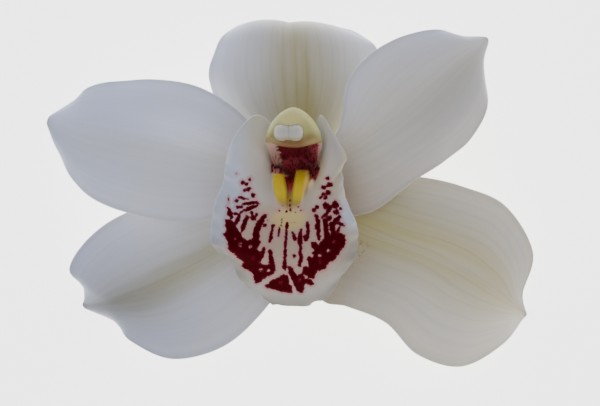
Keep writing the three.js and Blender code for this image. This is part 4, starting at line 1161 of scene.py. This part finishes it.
def paintColumn(mesh):
    x, y, z, steep = pointsOf(mesh)
    samples = np.linspace(0, 1, 200)
    s = np.interp(z, through(column["height"], samples), samples)
    middleX, _, wingY, _, halfWidth, hollow = columnProfile(s)
    across = np.clip((x - middleX) / halfWidth, -1, 1)
    # the lower edge of the flap under the cap, as it shows from in front
    stations = np.linspace(column["flapFrom"], 1, 60)
    tipX, _, tipY, _, tipHalf, tipHollow = columnProfile(stations)
    share = (x[:, None] - tipX) / tipHalf
    beyond = 20  # higher than any edge
    edge = np.where(np.abs(share) < 1, tipY + tipHollow * (1 - share ** 2), beyond).min(1)
    tints = faded(column["tints"], {
        "z": z, "steep": steep, "across": across, "off": np.abs(across), "side": np.abs(x),
        "fromEdge": y - edge,
    })
    fromWing = y - (wingY + hollow * (1 - across ** 2)) - tints["wrap"]
    under = smoothStep(*column["underFade"], fromWing)
    redLow = column["redFrom"] - z
    redSide = (column["redRight"] - across) * halfWidth
    red = np.minimum(np.minimum(redLow, redSide), (across - column["redLeft"]) * halfWidth)
    paint(mesh, {
        # painted shade down the sides, with the hood's deeper yellow
        "side": np.maximum(tints["steepSide"], tints["wideSide"]),
        "flap": tints["flap"] * (1 - tints["flapEnds"]),
        "flush": patches(column["flushAt"], x, y) * tints["tip"],
        "cavity": np.where(under > 0.5, red, -1), "wing": under * (1 - tints["tip"]),
        "streaky": under * tints["streaky"],
        # painted light low in the hollow
        "deep": np.maximum(tints["deep"], tints["deepRight"]),
    })


def capSkin():
    # Anther cap: smooth, close-grained white skin with a soft gloss
    material, tree, skin, place, read = newMaterial("anther cap skin", "edge")
    cloud = addNode(
        tree, "ShaderNodeTexNoise", {"Vector": place, "Scale": 0.42 / mm, "Detail": 2.0})
    shaded = addNode(
        tree, "ShaderNodeMath", {0: cloud, 1: 0.25, 2: read["edge"]}, operation="MULTIPLY_ADD")
    colour = addNode(
        tree, "ShaderNodeMix", {0: shaded, 6: antherCap["colour"], 7: antherCap["shade"]},
        data_type="RGBA")
    cells = addNode(tree, "ShaderNodeTexNoise", {"Vector": place, "Scale": 5 / mm, "Detail": 1.0})
    bump = addNode(tree, "ShaderNodeBump", {"Strength": 0.2, "Distance": 0.1 * mm, "Height": cells})
    setInputs(tree, skin, {
        "Base Color": colour, "Normal": bump, "Roughness": 0.45, "Specular IOR Level": 0.3,
        "Subsurface Weight": 0.1, "Subsurface Scale": 0.6 * mm,
    })
    return material


def paintCap(mesh):
    # painted shade down its sides and in the groove between its lobes, and darker at its foot
    x, y, _, steep = pointsOf(mesh)
    tints = faded(antherCap["tints"], {"y": y, "steep": steep})
    groove = np.exp(-((x - antherCap["grooveX"]) / antherCap["grooveWidth"]) ** 2)
    groove = groove * (antherCap["grooveShade"] + tints["groove"])
    paint(mesh, {"edge": tints["side"] + groove + tints["foot"]})


def pollenSkin():
    # Pollen masses: hard yellow wax with a fine grain
    material, tree, skin, place, _ = newMaterial("pollen wax")
    grains = addNode(tree, "ShaderNodeTexVoronoi", {"Vector": place, "Scale": 9 / mm})
    colour = addNode(
        tree, "ShaderNodeMix", {0: grains, 6: pollen["colour"], 7: pollen["shade"]},
        data_type="RGBA")
    bump = addNode(
        tree, "ShaderNodeBump", {"Strength": 0.3, "Distance": 0.1 * mm, "Height": grains})
    setInputs(tree, skin, {"Base Color": colour, "Normal": bump, "Roughness": 0.5})
    return material


def carve(piece, look, name):
    # cuts the lobes' space, grown by the seat's gap, out of a piece
    vertices, faces = lobedSkin(look, seatGap)
    cutter = addPiece(name, vertices, faces, piece.data.materials[0])
    cut = piece.modifiers.new("socket", "BOOLEAN")
    cut.operation, cut.solver, cut.object = "DIFFERENCE", "EXACT", cutter
    baked = bakedMesh(piece)
    piece.modifiers.clear()
    piece.data = baked
    bpy.data.objects.remove(cutter)


columnPiece = addPiece("column_flesh", *ringSkin(columnRings()), columnSkin())
carve(columnPiece, antherCap, "cap_space")
capPiece = addPiece("anther_cap_skin", *lobedSkin(antherCap), capSkin())
for piece in (columnPiece, capPiece):
    carve(piece, pollen, "pollen_space")
    piece.data.set_sharp_from_angle(angle=math.radians(column["sharpAngle"]))
paintColumn(columnPiece.data)
paintCap(capPiece.data)
standFor(columnPiece, "column")
standFor(capPiece, "anther_cap")

pollenPiece = addPiece("pollinarium_wax", *lobedSkin(pollen), pollenSkin())
standFor(pollenPiece, "pollinarium")
print("column, cap and pollen made")


# ovary and stalk

stalk = {
    "path": [
        (1, 2.2, 0.35), (1, 2.2, -2.3), (1, 2.1, -3.2), (1.1, 1.5, -5.4), (1.6, -1.8, -8.6),
        (2.4, -7.6, -11.2), (3.6, -15, -12.4), (5, -24, -12.7),
    ],
    "radius": [2.2, 2.2, 3.3, 3.2, 3.1, 2.9, 2.4, 2.15],
    "points": 140, "sides": 72, "ribs": 6, "ribDepth": 0.11,
    "green": "#7c8c42", "purple": "#74604e", "pith": "#c8cba0", "crown": "#a03440",
    "sharpAngle": 50,
    "tints": {
        "cutEnd": (1, [("along", 0.999, 0.9999)]),
        "crown": (1, [("along", 0.17, 0.12), ("steep", 0.95, 0.5)]),
    },
}


def stalkSkin():
    # Ovary and stalk: green skin with cloudy brown-purple flushes and fine lines along it,
    # and pale pith at its cut end.
    material, tree, skin, place, read = newMaterial(
        "green orchid stalk", "along", "around", "cutEnd", "crown")
    lengthways = addNode(tree, "ShaderNodeMath", {0: read["along"], 1: 3.0}, operation="MULTIPLY")
    turned = addNode(tree, "ShaderNodeMath", {0: read["around"], 1: math.tau}, operation="MULTIPLY")
    cosine = addNode(tree, "ShaderNodeMath", {0: turned}, operation="COSINE")
    sine = addNode(tree, "ShaderNodeMath", {0: turned}, operation="SINE")
    ring = addNode(tree, "ShaderNodeCombineXYZ", {0: cosine, 1: sine, 2: lengthways})
    fibres = addNode(tree, "ShaderNodeVectorMath", {0: ring, 1: (9, 9, 1)}, operation="MULTIPLY")
    lines = addNode(tree, "ShaderNodeTexNoise", {"Vector": fibres, "Scale": 1.0, "Detail": 4.0})
    cloud = addNode(
        tree, "ShaderNodeTexNoise", {"Vector": place, "Scale": 0.14 / mm, "Detail": 3.0})
    flushed = addNode(tree, "ShaderNodeMapRange", {0: cloud, 1: 0.45, 2: 0.8, 3: 0.0, 4: 0.6})
    colour = addNode(
        tree, "ShaderNodeMix", {0: flushed, 6: stalk["green"], 7: stalk["purple"]},
        data_type="RGBA")
    lined = addNode(tree, "ShaderNodeMapRange", {0: lines, 1: 0.3, 2: 0.7, 3: 0.85, 4: 1.1})
    colour = addNode(tree, "ShaderNodeVectorMath", {0: colour, 3: lined}, operation="SCALE")
    for mask, paintColour in [
        (read["cutEnd"], stalk["pith"]), (read["crown"], stalk["crown"]),
    ]:
        colour = addNode(
            tree, "ShaderNodeMix", {0: mask, 6: colour, 7: paintColour}, data_type="RGBA")
    bump = addNode(tree, "ShaderNodeBump", {"Strength": 0.3, "Distance": 0.2 * mm, "Height": lines})
    setInputs(tree, skin, {
        "Base Color": colour, "Normal": bump, "Roughness": 0.55, "Specular IOR Level": 0.2,
        "Subsurface Weight": 0.1, "Subsurface Scale": 1 * mm,
    })
    return material


def stalkTree(material):
    # a ribbed tube along the path; "around" and "along" are kept for the material
    tree, given = newTree(
        "ribbed stalk", "Path", {"Sides": "Int", "Ribs": "Float", "Rib Depth": "Float"}, "Stalk")
    place = addNode(tree, "GeometryNodeSplineParameter")
    path = addNode(
        tree, "GeometryNodeStoreNamedAttribute",
        {"Geometry": given["Path"], "Name": "along", "Value": place.outputs["Factor"]},
        data_type="FLOAT", domain="POINT")
    radius = addNode(tree, "GeometryNodeInputRadius")
    circle = addNode(
        tree, "GeometryNodeCurvePrimitiveCircle", {"Resolution": given["Sides"], "Radius": 1.0})
    circle = addNode(
        tree, "GeometryNodeStoreNamedAttribute",
        {"Geometry": circle, "Name": "around", "Value": place.outputs["Factor"]}, data_type="FLOAT",
        domain="POINT")
    tube = addNode(
        tree, "GeometryNodeCurveToMesh",
        {"Curve": path, "Profile Curve": circle, "Scale": radius, "Fill Caps": True})
    # the ribs fade out towards both ends
    around = addNode(tree, "GeometryNodeInputNamedAttribute", {"Name": "around"}, data_type="FLOAT")
    along = addNode(tree, "GeometryNodeInputNamedAttribute", {"Name": "along"}, data_type="FLOAT")
    turns = addNode(tree, "ShaderNodeMath", {0: around, 1: given["Ribs"]}, operation="MULTIPLY")
    turns = addNode(tree, "ShaderNodeMath", {0: turns, 1: math.tau}, operation="MULTIPLY")
    wave = addNode(tree, "ShaderNodeMath", {0: turns}, operation="COSINE")
    halfTurn = addNode(tree, "ShaderNodeMath", {0: along, 1: math.pi}, operation="MULTIPLY")
    fade = addNode(tree, "ShaderNodeMath", {0: halfTurn}, operation="SINE")
    depth = addNode(tree, "ShaderNodeMath", {0: wave, 1: given["Rib Depth"]}, operation="MULTIPLY")
    depth = addNode(tree, "ShaderNodeMath", {0: depth, 1: fade}, operation="MULTIPLY")
    normal = addNode(tree, "GeometryNodeInputNormal")
    push = addNode(tree, "ShaderNodeVectorMath", {0: normal, 3: depth}, operation="SCALE")
    tube = addNode(tree, "GeometryNodeSetPosition", {"Geometry": tube, "Offset": push})
    return endTree(tree, tube, material, "Stalk")


def makeStalk():
    curve = bpy.data.curves.new("stalk_path", "CURVE")
    curve.dimensions = "3D"
    line = curve.splines.new("POLY")
    s = np.linspace(0, 1, stalk["points"])
    path = (through(stalk["path"], s) + bloomCentre) * mm
    line.points.add(len(path) - 1)
    line.points.foreach_set("co", np.hstack([path, np.ones((len(path), 1))]).ravel())
    line.points.foreach_set("radius", through(stalk["radius"], s) * mm)
    sizes = {
        "Sides": stalk["sides"], "Ribs": float(stalk["ribs"]),
        "Rib Depth": stalk["ribDepth"] * mm,
    }
    piece = fromTree("stalk_skin", curve, stalkTree(stalkSkin()), sizes)
    mesh = piece.data
    mesh.polygons.foreach_set("use_smooth", [True] * len(mesh.polygons))
    mesh.set_sharp_from_angle(angle=math.radians(stalk["sharpAngle"]))
    along = np.zeros(len(mesh.vertices), np.float32)
    mesh.attributes["along"].data.foreach_get("value", along)
    measured = {"along": along, "steep": pointsOf(mesh)[3]}
    paint(mesh, faded(stalk["tints"], measured))
    standFor(piece, "ovary_and_stalk")


makeStalk()
print("stalk made")


# down: fine hairs on the keels and the velvety floor of the lip

down = {
    "density": 14.0, "length": 0.32, "thickness": 0.07, "shortest": 0.5, "sides": 5,
    "seed": 11, "colour": "#d9bd62", "shade": "#c79d33",
}


def downSkin():
    # Glassy hairs, each a single cell: pale yellow, with a soft shine
    material, tree, skin, place, _ = newMaterial("lip down, glassy hairs")
    cloud = addNode(tree, "ShaderNodeTexNoise", {"Vector": place, "Scale": 0.7 / mm})
    colour = addNode(
        tree, "ShaderNodeMix", {0: cloud, 6: down["colour"], 7: down["shade"]}, data_type="RGBA")
    setInputs(tree, skin, {"Base Color": colour, "Roughness": 0.35})
    return material


def downTree(material):
    # cones scattered where "yellow" is high, on the keels, and standing up from the skin
    kinds = {"Density": "Float", "Length": "Float", "Thickness": "Float", "Seed": "Int"}
    tree, given = newTree("lip down", "Skin", kinds, "Down")
    yellow = addNode(tree, "GeometryNodeInputNamedAttribute", {"Name": "yellow"}, data_type="FLOAT")
    thick = addNode(tree, "ShaderNodeMath", {0: yellow, 1: given["Density"]}, operation="MULTIPLY")
    spread = addNode(
        tree, "GeometryNodeDistributePointsOnFaces",
        {"Mesh": given["Skin"], "Density": thick, "Seed": given["Seed"]})
    hair = addNode(
        tree, "GeometryNodeMeshCone",
        {"Vertices": down["sides"], "Radius Bottom": given["Thickness"], "Depth": given["Length"]})
    size = addNode(
        tree, "FunctionNodeRandomValue", {2: down["shortest"], 3: 1.0, "Seed": given["Seed"]},
        data_type="FLOAT")
    placed = addNode(
        tree, "GeometryNodeInstanceOnPoints",
        {"Points": spread.outputs["Points"], "Instance": hair,
         "Rotation": spread.outputs["Rotation"], "Scale": size})
    return endTree(tree, placed, material, "Down")


sizes = {
    "Density": down["density"] / mm ** 2, "Length": down["length"] * mm,
    "Thickness": down["thickness"] * mm / 2, "Seed": down["seed"],
}
downPiece = fromTree("lip_down", lipPiece.data, downTree(downSkin()), sizes)
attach(downPiece, "root")
print("down made:", len(downPiece.data.polygons), "faces")


# stage and light

stage = {
    "half": 6, "floor": "#f4f4f3", "floorGlow": 3.2, "skyStrength": 0.45, "sky": "#ecf0ff",
    "softbox": {"size": 0.9, "watts": 5, "at": (-0.4, 0.4, 1.0), "colour": "#e8eeff"},
    "front": {"size": 0.8, "watts": 3, "at": (0.05, -0.6, 1.1), "colour": "#fffaf0"},
    "fill": {"size": 0.8, "watts": 2, "at": (0.8, -0.2, 0.8), "colour": "#fff0d8"},
}


def makeStage():
    mesh = bpy.data.meshes.new("floor")
    half = stage["half"]
    mesh.from_pydata(
        [(-half, -half, 0), (half, -half, 0), (half, half, 0), (-half, half, 0)], [],
        [(0, 1, 2, 3)])
    floor = newObject("floor", mesh)
    # Matt white studio paper, lit from below so that it stays white: no shine, fine grain
    material, tree, paper, place, _ = newMaterial("matt studio paper")
    grain = addNode(tree, "ShaderNodeTexNoise", {"Vector": place, "Scale": 0.9 / mm, "Detail": 3.0})
    bump = addNode(
        tree, "ShaderNodeBump", {"Strength": 0.05, "Distance": 0.2 * mm, "Height": grain})
    setInputs(tree, paper, {
        "Normal": bump, "Base Color": stage["floor"], "Roughness": 0.9,
        "Emission Color": stage["floor"], "Emission Strength": stage["floorGlow"],
    })
    mesh.materials.append(material)


def makeLight(name, look):
    data = bpy.data.lights.new(name, "AREA")
    data.size, data.energy = look["size"], look["watts"]
    data.color = toLinear(look["colour"])[:3]
    lamp = newObject(name, data)
    lamp.location = look["at"]
    towards = -np.array(look["at"])
    # turned towards the bloom
    lamp.rotation_euler = (
        math.atan2(math.hypot(towards[0], towards[1]), -towards[2]), 0,
        math.atan2(towards[0], -towards[1]) + math.pi)


def makeSky():
    sky = bpy.data.worlds.new("soft studio")
    sky.use_nodes = True
    background = sky.node_tree.nodes["Background"]
    setInputs(sky.node_tree, background, {"Color": stage["sky"], "Strength": stage["skyStrength"]})
    bpy.context.scene.world = sky


makeStage()
for name in ("softbox", "front", "fill"):
    makeLight(name, stage[name])
makeSky()
print("stage and light set")
